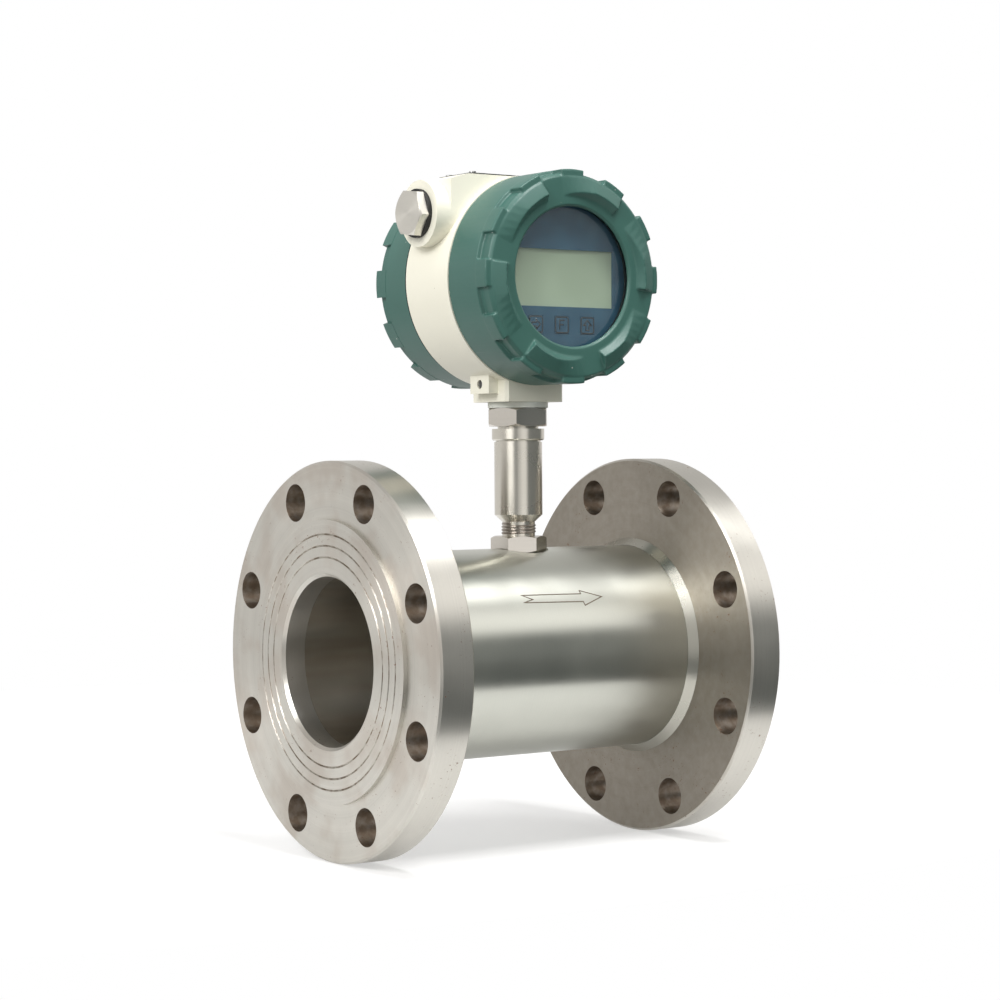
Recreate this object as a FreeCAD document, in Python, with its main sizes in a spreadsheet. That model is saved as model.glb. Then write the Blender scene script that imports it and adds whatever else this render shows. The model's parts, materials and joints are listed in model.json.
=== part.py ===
import FreeCAD, Part
import math
import os
import Sketcher
from FreeCAD import Placement, Rotation, Vector

# Turbine flow meter for an 80 mm pipeline, with a display head on a pick-up stem.
# X runs along the pipe in the direction of flow, -Y is the display side and Z is up.
# The origin is the centre of the inlet bolt circle, on the inlet flange's bolting face.

doc = FreeCAD.newDocument("TurbineFlowMeter")
sheet = doc.addObject("Spreadsheet::Sheet", "Sizes")


# ---------------------------------------------------------------- sizes

class Size:
    """A number together with the spreadsheet formula that gives it."""

    def __init__(self, value, formula):
        self.value = float(value)
        self.formula = formula

    def __add__(self, other):
        return Size(self.value + value_of(other), joined(self, "+", other))

    def __radd__(self, other):
        return Size(value_of(other) + self.value, joined(other, "+", self))

    def __sub__(self, other):
        return Size(self.value - value_of(other), joined(self, "-", other))

    def __rsub__(self, other):
        return Size(value_of(other) - self.value, joined(other, "-", self))

    def __mul__(self, other):
        return Size(self.value * value_of(other), joined(self, "*", other))

    def __rmul__(self, other):
        return Size(value_of(other) * self.value, joined(other, "*", self))

    def __truediv__(self, other):
        return Size(self.value / value_of(other), joined(self, "/", other))

    def __rtruediv__(self, other):
        return Size(value_of(other) / self.value, joined(other, "/", self))

    def __neg__(self):
        return Size(-self.value, "(-1 * %s)" % self.formula)


def value_of(size):
    return size.value if isinstance(size, Size) else float(size)


def formula_of(size):
    return size.formula if isinstance(size, Size) else repr(float(size))


def joined(left, sign, right):
    return "(%s %s %s)" % (formula_of(left), sign, formula_of(right))


def sine(angle):
    return Size(math.sin(math.radians(value_of(angle))), "sin(%s * 1 deg)" % formula_of(angle))


def cosine(angle):
    return Size(math.cos(math.radians(value_of(angle))), "cos(%s * 1 deg)" % formula_of(angle))


def size(alias, number, meaning):
    """Writes one driving dimension into the next row of the sheet."""
    size.row += 1
    sheet.set("A%d" % size.row, meaning)
    sheet.set("B%d" % size.row, repr(number))
    sheet.setAlias("B%d" % size.row, alias)
    return Size(number, "Sizes." + alias)


size.row = 0

# Meter tube and flanges
bore_dia = size("bore_dia", 80, "bore of the meter tube")
tube_wall = size("tube_wall", 10.5, "wall of the meter tube")
body_length = size("body_length", 196, "between the two bolting faces")
raised_height = size("raised_height", 2, "raised face above the bolting face")
raised_dia = size("raised_dia", 133, "raised face")
flange_dia = size("flange_dia", 188, "outside of a flange")
flange_thick = size("flange_thick", 18, "flange plate without the raised face")
bolt_edge = size("bolt_edge", 14, "pitch circle of the bolt holes inside a flange's edge")
bolt_hole_dia = size("bolt_hole_dia", 18, "bolt hole")
bolt_count = size("bolt_count", 8, "bolt holes in a flange")
flange_chamfer = size("flange_chamfer", 1, "chamfer on a flange's rims")
mouth_chamfer = size("mouth_chamfer", 1.5, "chamfer at the mouth of the bore")
face_groove_dia = size("face_groove_dia", 98, "innermost sealing groove")
face_groove_step = size("face_groove_step", 10.75, "growth in diameter from groove to groove")
face_groove_wide = size("face_groove_wide", 1.0, "sealing groove at the face")
face_groove_deep = size("face_groove_deep", 0.6, "depth of a sealing groove")
socket_depth = size("socket_depth", 8, "depth of the tube in a flange's socket")
weld_height = size("weld_height", 3.5, "weld fillet on the flange")
weld_length = size("weld_length", 4, "weld fillet along the tube")
fit_gap = size("fit_gap", 0.1, "clearance round a piece that is fixed in another")
seat_gap = size("seat_gap", 0.05, "clearance between two stacked pieces")
cut_past = size("cut_past", 1, "cut carried past the end of a piece")

# Rotor and the guides on each side of it
stem_shift = size("stem_shift", 10.5, "rotor and stem downstream of the body's middle")
hub_dia = size("hub_dia", 30, "hubs of the rotor and of the guides")
rotor_hub_length = size("rotor_hub_length", 23, "rotor hub")
rotor_bore_cone = size("rotor_bore_cone", 1.5, "chamfer on the rotor hub's ends")
tip_gap = size("tip_gap", 0.8, "gap between a blade tip and the bore")
blade_count = size("blade_count", 8, "blades on the rotor")
blade_thick = size("blade_thick", 1.8, "thickness of a blade")
blade_length = size("blade_length", 19, "blade along the axis")
blade_lead = size("blade_lead", 285, "advance of a blade in one full turn")
blade_root = size("blade_root", 2, "blades and vanes sunk into their hub")
shaft_dia = size("shaft_dia", 4, "rotor shaft")
shaft_length = size("shaft_length", 45, "rotor shaft")
running_gap = size("running_gap", 0.05, "radial clearance of the shaft in its bushes")
bush_dia = size("bush_dia", 9, "outside of a bush")
pad_thick = size("pad_thick", 2, "thrust pad behind the shaft's end")
thrust_gap = size("thrust_gap", 0.4, "end float of the shaft at each thrust pad")
guide_near = size("guide_near", 14.5, "rotor centre to the face of a guide")
inlet_hub_length = size("inlet_hub_length", 25, "straight part of the inlet guide's hub")
inlet_nose_length = size("inlet_nose_length", 20, "rounded nose of the inlet guide")
nose_tip_dia = size("nose_tip_dia", 4, "blunt end of the inlet guide's nose")
outlet_hub_length = size("outlet_hub_length", 25, "straight part of the outlet guide's hub")
outlet_tail_length = size("outlet_tail_length", 22, "tapered tail of the outlet guide")
tail_tip_dia = size("tail_tip_dia", 6, "end of the outlet guide's tail")
vane_count = size("vane_count", 5, "straightening vanes on a guide")
vane_thick = size("vane_thick", 2.4, "thickness of a vane")
vane_length = size("vane_length", 23, "length of a vane")
vane_setback = size("vane_setback", 2, "vane's end behind the guide's face")
vane_gap = size("vane_gap", 0.15, "gap between a vane and the bore")
clip_thick = size("clip_thick", 1.8, "thickness of a retaining clip")
clip_inner_dia = size("clip_inner_dia", 75, "inside of a retaining clip")
clip_deep = size("clip_deep", 1.2, "depth of a clip's groove in the tube")
clip_open_angle = size("clip_open_angle", 24, "angle left open between a clip's ends")
clip_lug_dia = size("clip_lug_dia", 6, "eyes at a clip's ends")
clip_eye_in = size("clip_eye_in", 1, "eyes inside a clip's inner edge")
clip_eye_dia = size("clip_eye_dia", 2.2, "hole in a clip's eye")
clip_eye_angle = size("clip_eye_angle", 3, "angle of an eye beyond a clip's end")

# Pick-up stem
spot_sink = size("spot_sink", 2, "depth of the flat on the tube under the lock nut")
spot_dia = size("spot_dia", 29, "spot-faced flat")
probe_dia = size("probe_dia", 16, "threaded end of the pick-up")
probe_floor = size("probe_floor", 2, "wall left between the pick-up and the bore")
lock_nut_flats = size("lock_nut_flats", 24, "lock nut across flats")
lock_nut_height = size("lock_nut_height", 8, "height of the lock nut")
lock_nut_angle = size("lock_nut_angle", 33, "angle of a lock nut corner from the X axis")
thread_shown = size("thread_shown", 7, "thread between the lock nut and the cone")
cone_length = size("cone_length", 3.5, "cone of the sleeve")
sleeve_dia = size("sleeve_dia", 23.5, "sleeve of the pick-up")
collar_dia = size("collar_dia", 25.7, "collar of the sleeve")
sleeve_length = size("sleeve_length", 37, "straight part of the sleeve")
collar_length = size("collar_length", 5, "collar of the sleeve")
collar_groove = size("collar_groove", 0.7, "depth and width of the groove under the collar")
neck_dia = size("neck_dia", 20, "threaded neck of the sleeve")
neck_chamfer = size("neck_chamfer", 1, "chamfers at the ends of the sleeve")
neck_length = size("neck_length", 25, "threaded neck of the sleeve above its collar")
sleeve_bore_dia = size("sleeve_bore_dia", 12, "bore of the sleeve")
sleeve_floor = size("sleeve_floor", 2, "closed lower end of the sleeve")
top_nut_flats = size("top_nut_flats", 28, "upper nut across flats")
top_nut_height = size("top_nut_height", 9, "height of the upper nut")
top_nut_angle = size("top_nut_angle", 52, "angle of an upper nut corner from the X axis")
washer_dia = size("washer_dia", 29.5, "seat washer")
washer_thick = size("washer_thick", 2.7, "seat washer")
nut_stand = size("nut_stand", 1.3, "thread between the collar and the upper nut")
swivel_gap = size("swivel_gap", 0.1, "gap under the head, which turns on the stem")
pole_dia = size("pole_dia", 4, "pole piece of the coil")
bobbin_dia = size("bobbin_dia", 11.6, "flanges of the coil's bobbin")
bobbin_length = size("bobbin_length", 18, "coil bobbin")
bobbin_wall = size("bobbin_wall", 0.9, "wall of the coil's bobbin")
winding_dia = size("winding_dia", 10.8, "outside of the winding")
magnet_dia = size("magnet_dia", 7, "magnet above the coil")
magnet_length = size("magnet_length", 10, "magnet above the coil")
lead_dia = size("lead_dia", 3.2, "lead from the coil to the main board")

# Head housing
base_height = size("base_height", 7.5, "underside of the head below its band")
band_proud = size("band_proud", 0.4, "band of the housing outside its covers")
band_front = size("band_front", 15, "head axis origin to the band's front edge")
band_rear = size("band_rear", 21, "head axis origin to the band's rear edge")
thread_dia = size("thread_dia", 92, "necks that carry the covers")
thread_length = size("thread_length", 14, "length of a neck")
neck_wall = size("neck_wall", 4, "wall of a neck")
shelf_front = size("shelf_front", 11, "front face of the inner shelf")
shelf_thick = size("shelf_thick", 3.5, "inner shelf")
shelf_wide = size("shelf_wide", 8, "width of the inner shelf")
entry_dia = size("entry_dia", 18.5, "bore of a cable entry")
entry_boss_dia = size("entry_boss_dia", 32, "boss round a cable entry")
entry_out = size("entry_out", 3.7, "face of an entry boss outside the band")
entry_length = size("entry_length", 20, "thread of a cable entry")
entry_pocket_dia = size("entry_pocket_dia", 22, "recess behind an entry's thread")
entry_pocket_deep = size("entry_pocket_deep", 15, "recess behind an entry's thread")
entry_sink = size("entry_sink", 2.8, "top of an entry boss below the flat top")
entry_back = size("entry_back", 3.6, "cable entries behind the stem axis")
crown_sink = size("crown_sink", 1.3, "flat top of the housing below the top of its band")
shoulder_run = size("shoulder_run", 10, "slope from the flat top to a shoulder, along X")
shoulder_inset = size("shoulder_inset", 8, "shoulder inside the face of an entry boss")
base_wide = size("base_wide", 34.5, "base block along X")
base_deep = size("base_deep", 29.6, "base block along Y")
base_corner = size("base_corner", 1.5, "chamfer on the base block's upright corners")
stem_hole_past = size("stem_hole_past", 5, "stem hole carried into the cavity")
lug_wide = size("lug_wide", 15.7, "earthing lug along Y")
lug_high = size("lug_high", 9, "earthing lug along Z")
lug_out = size("lug_out", 5.5, "earthing lug in front of the base block")
lug_rise = size("lug_rise", 8.5, "earthing hole above the head's underside")
earth_hole_dia = size("earth_hole_dia", 4.4, "earthing hole")
earth_hole_deep = size("earth_hole_deep", 9, "depth of the earthing hole")

# Covers
cover_wall = size("cover_wall", 4.5, "wall of a cover round its thread")
cover_gap = size("cover_gap", 0.1, "gap between a cover's edge and what it meets")
thread_gap = size("thread_gap", 0.4, "radial clearance of a cover on its neck")
front_reach = size("front_reach", 46.4, "front face of the front cover")
rear_reach = size("rear_reach", 48.6, "rear face of the rear cover")
grip_length = size("grip_length", 8, "grip ring at a cover's end")
grip_step = size("grip_step", 1.9, "grip ring inside the skirt")
grip_slope = size("grip_slope", 0.5, "slope from the skirt to the grip ring")
rim_chamfer = size("rim_chamfer", 1.4, "chamfer round a cover's end face")
lug_root = size("lug_root", 1, "grip lug sunk into the grip ring")
lug_count = size("lug_count", 12, "grip lugs on a cover")
lug_angle = size("lug_angle", 15, "width of a grip lug")
lug_proud = size("lug_proud", 0.1, "grip lug outside the skirt")
lug_length = size("lug_length", 8.3, "length of a grip lug")
pad_count = size("pad_count", 6, "raised pads on the front cover")
pad_root = size("pad_root", 0.6, "pad sunk into the cover's face")
pad_start = size("pad_start", -8, "angle from the top at which the first pad starts")
pad_angle = size("pad_angle", 45, "width of a pad")
pad_inset = size("pad_inset", 1.6, "outer edge of a pad inside the grip ring")
pad_crest_out = size("pad_crest_out", 7.6, "crest of a pad outside the window opening")
pad_foot_out = size("pad_foot_out", 1.8, "inner foot of a pad outside the window opening")
pad_height = size("pad_height", 2.5, "crest of a pad above the cover's face")
pad_start_height = size("pad_start_height", 1, "a pad's first edge above the cover's face")
pad_start_inset = size("pad_start_inset", 1, "that edge inside the pad's outer edge")
window_inset = size("window_inset", 12.7, "window opening inside the cover's thread")
lip_thick = size("lip_thick", 2.2, "lip in front of the glass")
pocket_room = size("pocket_room", 0.3, "clearance round the glass")
window_chamfer = size("window_chamfer", 1, "chamfer round the window opening")
pocket_deep = size("pocket_deep", 4.9, "depth of the pocket for the glass")
hollow_step = size("hollow_step", 3.5, "hollow of a cover inside its thread")
hollow_deep = size("hollow_deep", 6.3, "depth of the front cover's hollow")
seal_recess_high = size("seal_recess_high", 2.6, "recess for the front seal outside the thread")
seal_recess_deep = size("seal_recess_deep", 2.3, "recess for the front seal")
front_seal_dia = size("front_seal_dia", 1.9, "section of the front seal")
rear_seal_thick = size("rear_seal_thick", 1.3, "rear seal")
rear_wall = size("rear_wall", 3, "end wall of the rear cover")
dish_dia = size("dish_dia", 70, "dished middle of the rear cover")
dish_deep = size("dish_deep", 1.2, "depth of the rear cover's dish")

# Window and display
glass_thick = size("glass_thick", 3, "window glass")
glass_lap = size("glass_lap", 5, "glass behind the lip")
gasket_thick = size("gasket_thick", 0.5, "gasket in front of the glass")
gasket_in = size("gasket_in", 0.9, "gasket's edge outside the window opening")
retainer_thick = size("retainer_thick", 1.2, "ring behind the glass")
retainer_in = size("retainer_in", 1.4, "retainer's edge outside the window opening")
carrier_front = size("carrier_front", 37.4, "front rim of the display carrier")
carrier_back = size("carrier_back", 30.2, "back of the display carrier")
carrier_room = size("carrier_room", 2, "clearance round the display carrier")
carrier_wall = size("carrier_wall", 3, "wall of the display carrier")
carrier_floor = size("carrier_floor", 1.6, "floor of the display carrier")
carrier_hole_dia = size("carrier_hole_dia", 20, "wire hole in the carrier's floor")
plate_thick = size("plate_thick", 1, "face plate")
plate_inset = size("plate_inset", 1.8, "face plate's edge inside the carrier's")
screen_wide = size("screen_wide", 58.5, "screen opening along X")
screen_high = size("screen_high", 27.3, "screen opening along Z")
screen_drop = size("screen_drop", 0.4, "screen's centre below the head axis")
module_margin = size("module_margin", 1, "display module behind the edge of its opening")
module_thick = size("module_thick", 2.3, "display module")
board_thick = size("board_thick", 1.6, "circuit boards")
display_inset = size("display_inset", 1.5, "display board's edge inside the face plate's")
key_side = size("key_side", 8.2, "side of a key")
key_pitch = size("key_pitch", 15.2, "pitch of the keys")
key_shift = size("key_shift", 1.5, "middle key left of the head axis")
key_drop = size("key_drop", 22.7, "keys below the head axis")
key_proud = size("key_proud", 0.2, "key in front of the face plate")
key_gap = size("key_gap", 0.2, "clearance round a key")
key_brim = size("key_brim", 0.7, "brim that holds a key behind the plate")
key_brim_thick = size("key_brim_thick", 0.8, "thickness of a key's brim")
key_travel = size("key_travel", 0.4, "travel of a key")
switch_side = size("switch_side", 6, "side of a key's switch")
board_room = size("board_room", 2, "clearance round the main board")
main_board_front = size("main_board_front", 17.6, "front face of the main board")
pillar_dia = size("pillar_dia", 5, "board pillars")
pillar_inset = size("pillar_inset", 3, "pillars inside the edge of the main board")
pillar_count = size("pillar_count", 3, "pillars under a board")
socket_side = size("socket_side", 8, "socket for the coil's lead")
socket_high = size("socket_high", 5, "socket above its board")
lead_level = size("lead_level", 22, "lead's socket below the head axis")
lead_bend = size("lead_bend", 5, "bend radius of the lead")

# Terminals
terminal_room = size("terminal_room", 4, "clearance round the terminal board")
terminal_stand = size("terminal_stand", 5.5, "terminal board behind the shelf")
terminal_wide = size("terminal_wide", 48, "terminal block along X")
terminal_high = size("terminal_high", 14, "terminal block along Z")
terminal_deep = size("terminal_deep", 12, "terminal block along Y")
terminal_count = size("terminal_count", 6, "ways of the terminal block")
terminal_screw_dia = size("terminal_screw_dia", 3.6, "terminal screw head")
terminal_step = size("terminal_step", 5, "ledge on which the terminal screws stand")
terminal_recess = size("terminal_recess", 4, "depth of that ledge")

# Small pieces outside the head
plug_flats = size("plug_flats", 20.8, "blanking plug across flats")
plug_angle = size("plug_angle", 7, "angle of a blanking plug corner from the Y axis")
plug_head = size("plug_head", 4.5, "head of the blanking plug")
plug_shank = size("plug_shank", 10, "shank of the blanking plug")
plug_shank_dia = size("plug_shank_dia", 18.6, "shank of the blanking plug")
plug_seal_dia = size("plug_seal_dia", 23.4, "gasket under the blanking plug")
plug_seal_thick = size("plug_seal_thick", 2, "gasket under the blanking plug")
earth_screw_dia = size("earth_screw_dia", 4.2, "earthing screw")
earth_screw_sunk = size("earth_screw_sunk", 0.8, "earthing screw behind the lug's face")
badge_wide = size("badge_wide", 68, "blank plate on the crown along X")
badge_deep = size("badge_deep", 27, "blank plate on the crown along Y")
badge_thick = size("badge_thick", 0.8, "blank plate on the crown")
rivet_dia = size("rivet_dia", 3.4, "rivets of the blank plate")
rivet_high = size("rivet_high", 0.9, "height of a rivet's head")
rivet_inset = size("rivet_inset", 3.5, "rivet from the plate's edges")

doc.recompute()

# What follows from the sizes: the pipe and the stem, from the pipe axis up
tube_dia = bore_dia + 2 * tube_wall
bolt_circle = flange_dia - 2 * bolt_edge
stem_place = body_length / 2 + stem_shift
spot_height = tube_dia / 2 - spot_sink
cone_low = spot_height + lock_nut_height + thread_shown
cone_high = cone_low + cone_length
collar_low = cone_high + sleeve_length
collar_high = collar_low + collar_length
head_seat = collar_high + nut_stand + top_nut_height + washer_thick

# The covers and the housing, from the thread outwards and inwards
cover_dia = thread_dia + 2 * (thread_gap + cover_wall)
grip_dia = cover_dia - 2 * grip_step
lug_tip_dia = cover_dia + 2 * lug_proud
seal_recess_dia = thread_dia + 2 * seal_recess_high
hollow_dia = thread_dia - 2 * hollow_step
housing_dia = cover_dia + 2 * band_proud
cavity_dia = thread_dia - 2 * neck_wall
shelf_dia = cavity_dia - 2 * shelf_wide
crown_height = housing_dia / 2 - crown_sink
entry_reach = housing_dia / 2 + entry_out
entry_height = crown_height - entry_sink - entry_boss_dia / 2
shoulder_half = entry_reach - shoulder_inset
crown_half = shoulder_half - shoulder_run
base_drop = housing_dia / 2 + base_height
lug_drop = base_drop - lug_rise
head_height = head_seat + base_drop

# The window and what stands behind it
window_dia = thread_dia - 2 * window_inset
glass_dia = window_dia + 2 * glass_lap
pocket_dia = glass_dia + 2 * pocket_room
gasket_inner_dia = window_dia + 2 * gasket_in
retainer_inner_dia = window_dia + 2 * retainer_in
pad_outer_dia = grip_dia - 2 * pad_inset
pad_crest_dia = window_dia + 2 * pad_crest_out
pad_foot_dia = window_dia + 2 * pad_foot_out
carrier_dia = cavity_dia - 2 * carrier_room
plate_dia = carrier_dia - 2 * plate_inset
display_board_dia = plate_dia - 2 * display_inset
main_board_dia = cavity_dia - 2 * board_room
terminal_board_dia = cavity_dia - 2 * terminal_room
pillar_circle = main_board_dia - 2 * pillar_inset


# ---------------------------------------------------------------- drawing helpers

parts = []


def new_body(label, base=(0, 0, 0), turn=None):
    """Starts a sub-part; base places it and turn is an (axis, degrees) rotation."""
    body = doc.addObject("PartDesign::Body", label)
    body.Label = label
    if turn:
        body.Placement = Placement(Vector(0, 0, 0), Rotation(turn[0], turn[1]))
    place(body, base)
    parts.append(body)
    return body


def place(thing, base):
    for axis, distance in zip("xyz", base):
        bind(thing, "Placement.Base." + axis, distance)


def bind(thing, path, distance):
    if isinstance(distance, Size):
        thing.setExpression(path, distance.formula)
    elif distance:
        thing.setExpression(path, repr(float(distance)))


def origin_of(body, role):
    return next(item for item in body.Origin.OriginFeatures if item.Role == role)


def new_sketch(body, role, name, out=0, turn=None):
    """A sketch on one of the body's origin planes, moved out along the plane's normal.

    XY_Plane draws (X, Y) and faces +Z, XZ_Plane draws (X, Z) and faces -Y, and
    YZ_Plane draws (Y, Z) and faces +X.
    """
    sketch = body.newObject("Sketcher::SketchObject", name)
    sketch.AttachmentSupport = [(origin_of(body, role), "")]
    sketch.MapMode = "FlatFace"
    if turn:
        sketch.AttachmentOffset = Placement(Vector(0, 0, 0), Rotation(turn[0], 1))
        bind(sketch, "AttachmentOffset.Rotation.Angle", turn[1])
    bind(sketch, "AttachmentOffset.Base.z", out)
    return sketch


def fix_point(sketch, geometry, end, x, y):
    """Ties one end of a sketch element to the point (x, y)."""
    for kind, distance, axis in (("DistanceX", x, -2), ("DistanceY", y, -1)):
        if value_of(distance) == 0:
            sketch.addConstraint(Sketcher.Constraint("PointOnObject", geometry, end, axis))
        else:
            rule = Sketcher.Constraint(kind, -1, 1, geometry, end, value_of(distance))
            index = sketch.addConstraint(rule)
            bind_rule(sketch, index, distance)


def bind_rule(sketch, index, distance):
    if isinstance(distance, Size):
        sketch.setExpression("Constraints[%d]" % index, distance.formula)


def draw_circle(sketch, diameter, x=0, y=0):
    centre = Vector(value_of(x), value_of(y), 0)
    circle = Part.Circle(centre, Vector(0, 0, 1), value_of(diameter) / 2)
    geometry = sketch.addGeometry(circle, False)
    fix_point(sketch, geometry, 3, x, y)
    rule = Sketcher.Constraint("Diameter", geometry, value_of(diameter))
    index = sketch.addConstraint(rule)
    bind_rule(sketch, index, diameter)


def arc_between(start, end, radius):
    """The arc from start to end; a negative radius turns clockwise."""
    middle = (start + end) / 2
    chord = end - start
    reach = math.sqrt(max(radius * radius - chord.Length ** 2 / 4, 0))
    side = Vector(-chord.y, chord.x, 0).normalize()
    centre = middle + side * (reach if radius > 0 else -reach)
    first, last = (start, end) if radius > 0 else (end, start)
    angles = [math.atan2(point.y - centre.y, point.x - centre.x) for point in (first, last)]
    circle = Part.Circle(centre, Vector(0, 0, 1), abs(radius))
    return Part.ArcOfCircle(circle, angles[0], angles[1])


def draw_outline(sketch, corners):
    """Draws a closed outline of (x, y) corners.

    A corner with a third item starts an arc of that radius, which turns
    anticlockwise where the radius is positive.
    """
    points = [Vector(value_of(corner[0]), value_of(corner[1]), 0) for corner in corners]
    ends = []
    for number, corner in enumerate(corners):
        start, end = points[number], points[(number + 1) % len(points)]
        if len(corner) == 3:
            radius = value_of(corner[2])
            geometry = sketch.addGeometry(arc_between(start, end, radius), False)
            ends.append((geometry, 1, 2) if radius > 0 else (geometry, 2, 1))
        else:
            geometry = sketch.addGeometry(Part.LineSegment(start, end), False)
            ends.append((geometry, 1, 2))
    for number, corner in enumerate(corners):
        before, this = ends[number - 1], ends[number]
        rule = Sketcher.Constraint("Coincident", before[0], before[2], this[0], this[1])
        sketch.addConstraint(rule)
        fix_point(sketch, this[0], this[1], corner[0], corner[1])
        if len(corner) == 3:
            radius = corner[2] if value_of(corner[2]) > 0 else -corner[2]
            rule = Sketcher.Constraint("Radius", this[0], value_of(radius))
            bind_rule(sketch, sketch.addConstraint(rule), radius)


def box_corners(wide, high, x=0, y=0):
    return [(x - wide / 2, y - high / 2), (x + wide / 2, y - high / 2),
            (x + wide / 2, y + high / 2), (x - wide / 2, y + high / 2)]


def bevelled_box(wide, high, corner):
    x, y = wide / 2, high / 2
    return [(corner - x, -y), (x - corner, -y), (x, corner - y), (x, y - corner),
            (x - corner, y), (corner - x, y), (-x, y - corner), (-x, corner - y)]


def hexagon(across_flats, turn=0, x=0, y=0):
    reach = across_flats / (2 * math.cos(math.radians(30)))
    return [(x + reach * cosine(turn + 60 * number), y + reach * sine(turn + 60 * number))
            for number in range(6)]


# ---------------------------------------------------------------- solid helpers

def turned(body, sketch, axis, cut=False):
    """Revolves a sketch about its own H_Axis or V_Axis, to add or to cut."""
    kind = "PartDesign::Groove" if cut else "PartDesign::Revolution"
    feature = body.newObject(kind, sketch.Name + "_turned")
    feature.Profile = sketch
    feature.ReferenceAxis = (sketch, [axis])
    feature.Angle = 360
    body.Tip = feature
    return feature


def padded(body, sketch, length, symmetric=False, reverse=False):
    feature = body.newObject("PartDesign::Pad", sketch.Name + "_pad")
    feature.Profile = sketch
    feature.Length = value_of(length)
    bind(feature, "Length", length)
    feature.SideType = "Symmetric" if symmetric else "One side"
    feature.Reversed = reverse
    body.Tip = feature
    return feature


def cut_through(body, sketch):
    """Cuts a sketch through the whole body, both ways."""
    feature = body.newObject("PartDesign::Pocket", sketch.Name + "_cut")
    feature.Profile = sketch
    feature.Type = "ThroughAll"
    feature.SideType = "Symmetric"
    body.Tip = feature
    return feature


def cut_deep(body, sketch, length, reverse=False):
    """Cuts a sketch to a depth, against its plane's normal unless reversed."""
    feature = body.newObject("PartDesign::Pocket", sketch.Name + "_cut")
    feature.Profile = sketch
    feature.Type = "Length"
    feature.Length = value_of(length)
    bind(feature, "Length", length)
    feature.Reversed = reverse
    body.Tip = feature
    return feature


def patterned(body, features, axis_role, count):
    pattern = body.newObject("PartDesign::PolarPattern", features[0].Name + "_ring")
    pattern.Originals = features
    pattern.Axis = (origin_of(body, axis_role), [""])
    pattern.Angle = 360
    pattern.Occurrences = int(value_of(count))
    bind(pattern, "Occurrences", count)
    body.Tip = pattern
    return pattern


def lofted(body, sketches, ruled):
    feature = body.newObject("PartDesign::AdditiveLoft", sketches[0].Name + "_loft")
    feature.Profile = sketches[0]
    feature.Sections = sketches[1:]
    feature.Ruled = ruled
    body.Tip = feature
    return feature


def ring_body(label, plane, axis, corners, base, turn=None):
    """A sub-part that is one outline turned about an axis of its sketch."""
    body = new_body(label, base, turn)
    sketch = new_sketch(body, plane, label + "_profile")
    draw_outline(sketch, corners)
    turned(body, sketch, axis)
    return body


def tube_corners(low, high, outer_dia, inner_dia=0):
    """A rectangle between two places on the axis, for a sketch that turns about it."""
    return [(low, inner_dia / 2), (high, inner_dia / 2), (high, outer_dia / 2), (low, outer_dia / 2)]


def upright(corners):
    """Swaps an outline's axes, so that it can turn about the vertical."""
    return [(corner[1], corner[0]) + tuple(corner[2:]) for corner in corners]


# ---------------------------------------------------------------- meter tube and flanges

half_turn = (Vector(0, 0, 1), 180)
pipe_ends = {"inlet": ((0, 0, 0), None), "outlet": ((body_length, 0, 0), half_turn)}


def make_flange(label, base, turn):
    """Raised-face flange with a socket for the tube; its bolting face is at x = 0."""
    body = new_body(label, base, turn)
    sketch = new_sketch(body, "XZ_Plane", label + "_profile")
    bore, outside, raised = bore_dia / 2, flange_dia / 2, raised_dia / 2
    socket = tube_dia / 2 + fit_gap
    draw_outline(sketch, [
        (-raised_height, bore + mouth_chamfer),
        (-raised_height, raised),
        (0, raised),
        (0, outside - flange_chamfer),
        (flange_chamfer, outside),
        (flange_thick - flange_chamfer, outside),
        (flange_thick, outside - flange_chamfer),
        (flange_thick, socket),
        (flange_thick - socket_depth, socket),
        (flange_thick - socket_depth, bore),
        (mouth_chamfer - raised_height, bore),
    ])
    turned(body, sketch, "H_Axis")
    grooves = new_sketch(body, "XZ_Plane", label + "_grooves")
    for number in range(3):
        middle = face_groove_dia / 2 + face_groove_step / 2 * number
        draw_outline(grooves, [
            (-raised_height, middle - face_groove_wide / 2),
            (face_groove_deep - raised_height, middle),
            (-raised_height, middle + face_groove_wide / 2),
        ])
    turned(body, grooves, "H_Axis", cut=True)
    hole = new_sketch(body, "YZ_Plane", label + "_bolt_hole")
    offset = 180 / bolt_count
    draw_circle(hole, bolt_hole_dia, bolt_circle / 2 * sine(offset), bolt_circle / 2 * cosine(offset))
    patterned(body, [cut_through(body, hole)], "X_Axis", bolt_count)
    return body


def make_weld(label, base, turn):
    """Machined fillet weld between a flange's inner face and the tube."""
    inside = tube_dia / 2 + fit_gap
    start = flange_thick + seat_gap
    return ring_body(label, "XZ_Plane", "H_Axis", [
        (start, inside),
        (start, tube_dia / 2 + weld_height),
        (start + weld_length, inside + fit_gap),
        (start + weld_length, inside),
    ], base, turn)


for end, (base, turn) in pipe_ends.items():
    make_flange(end + "_flange", base, turn)
    make_weld(end + "_weld", base, turn)

tube_start = flange_thick - socket_depth + seat_gap
tube_end = body_length - tube_start
clip_offset = guide_near + vane_setback + vane_length / 2

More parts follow.
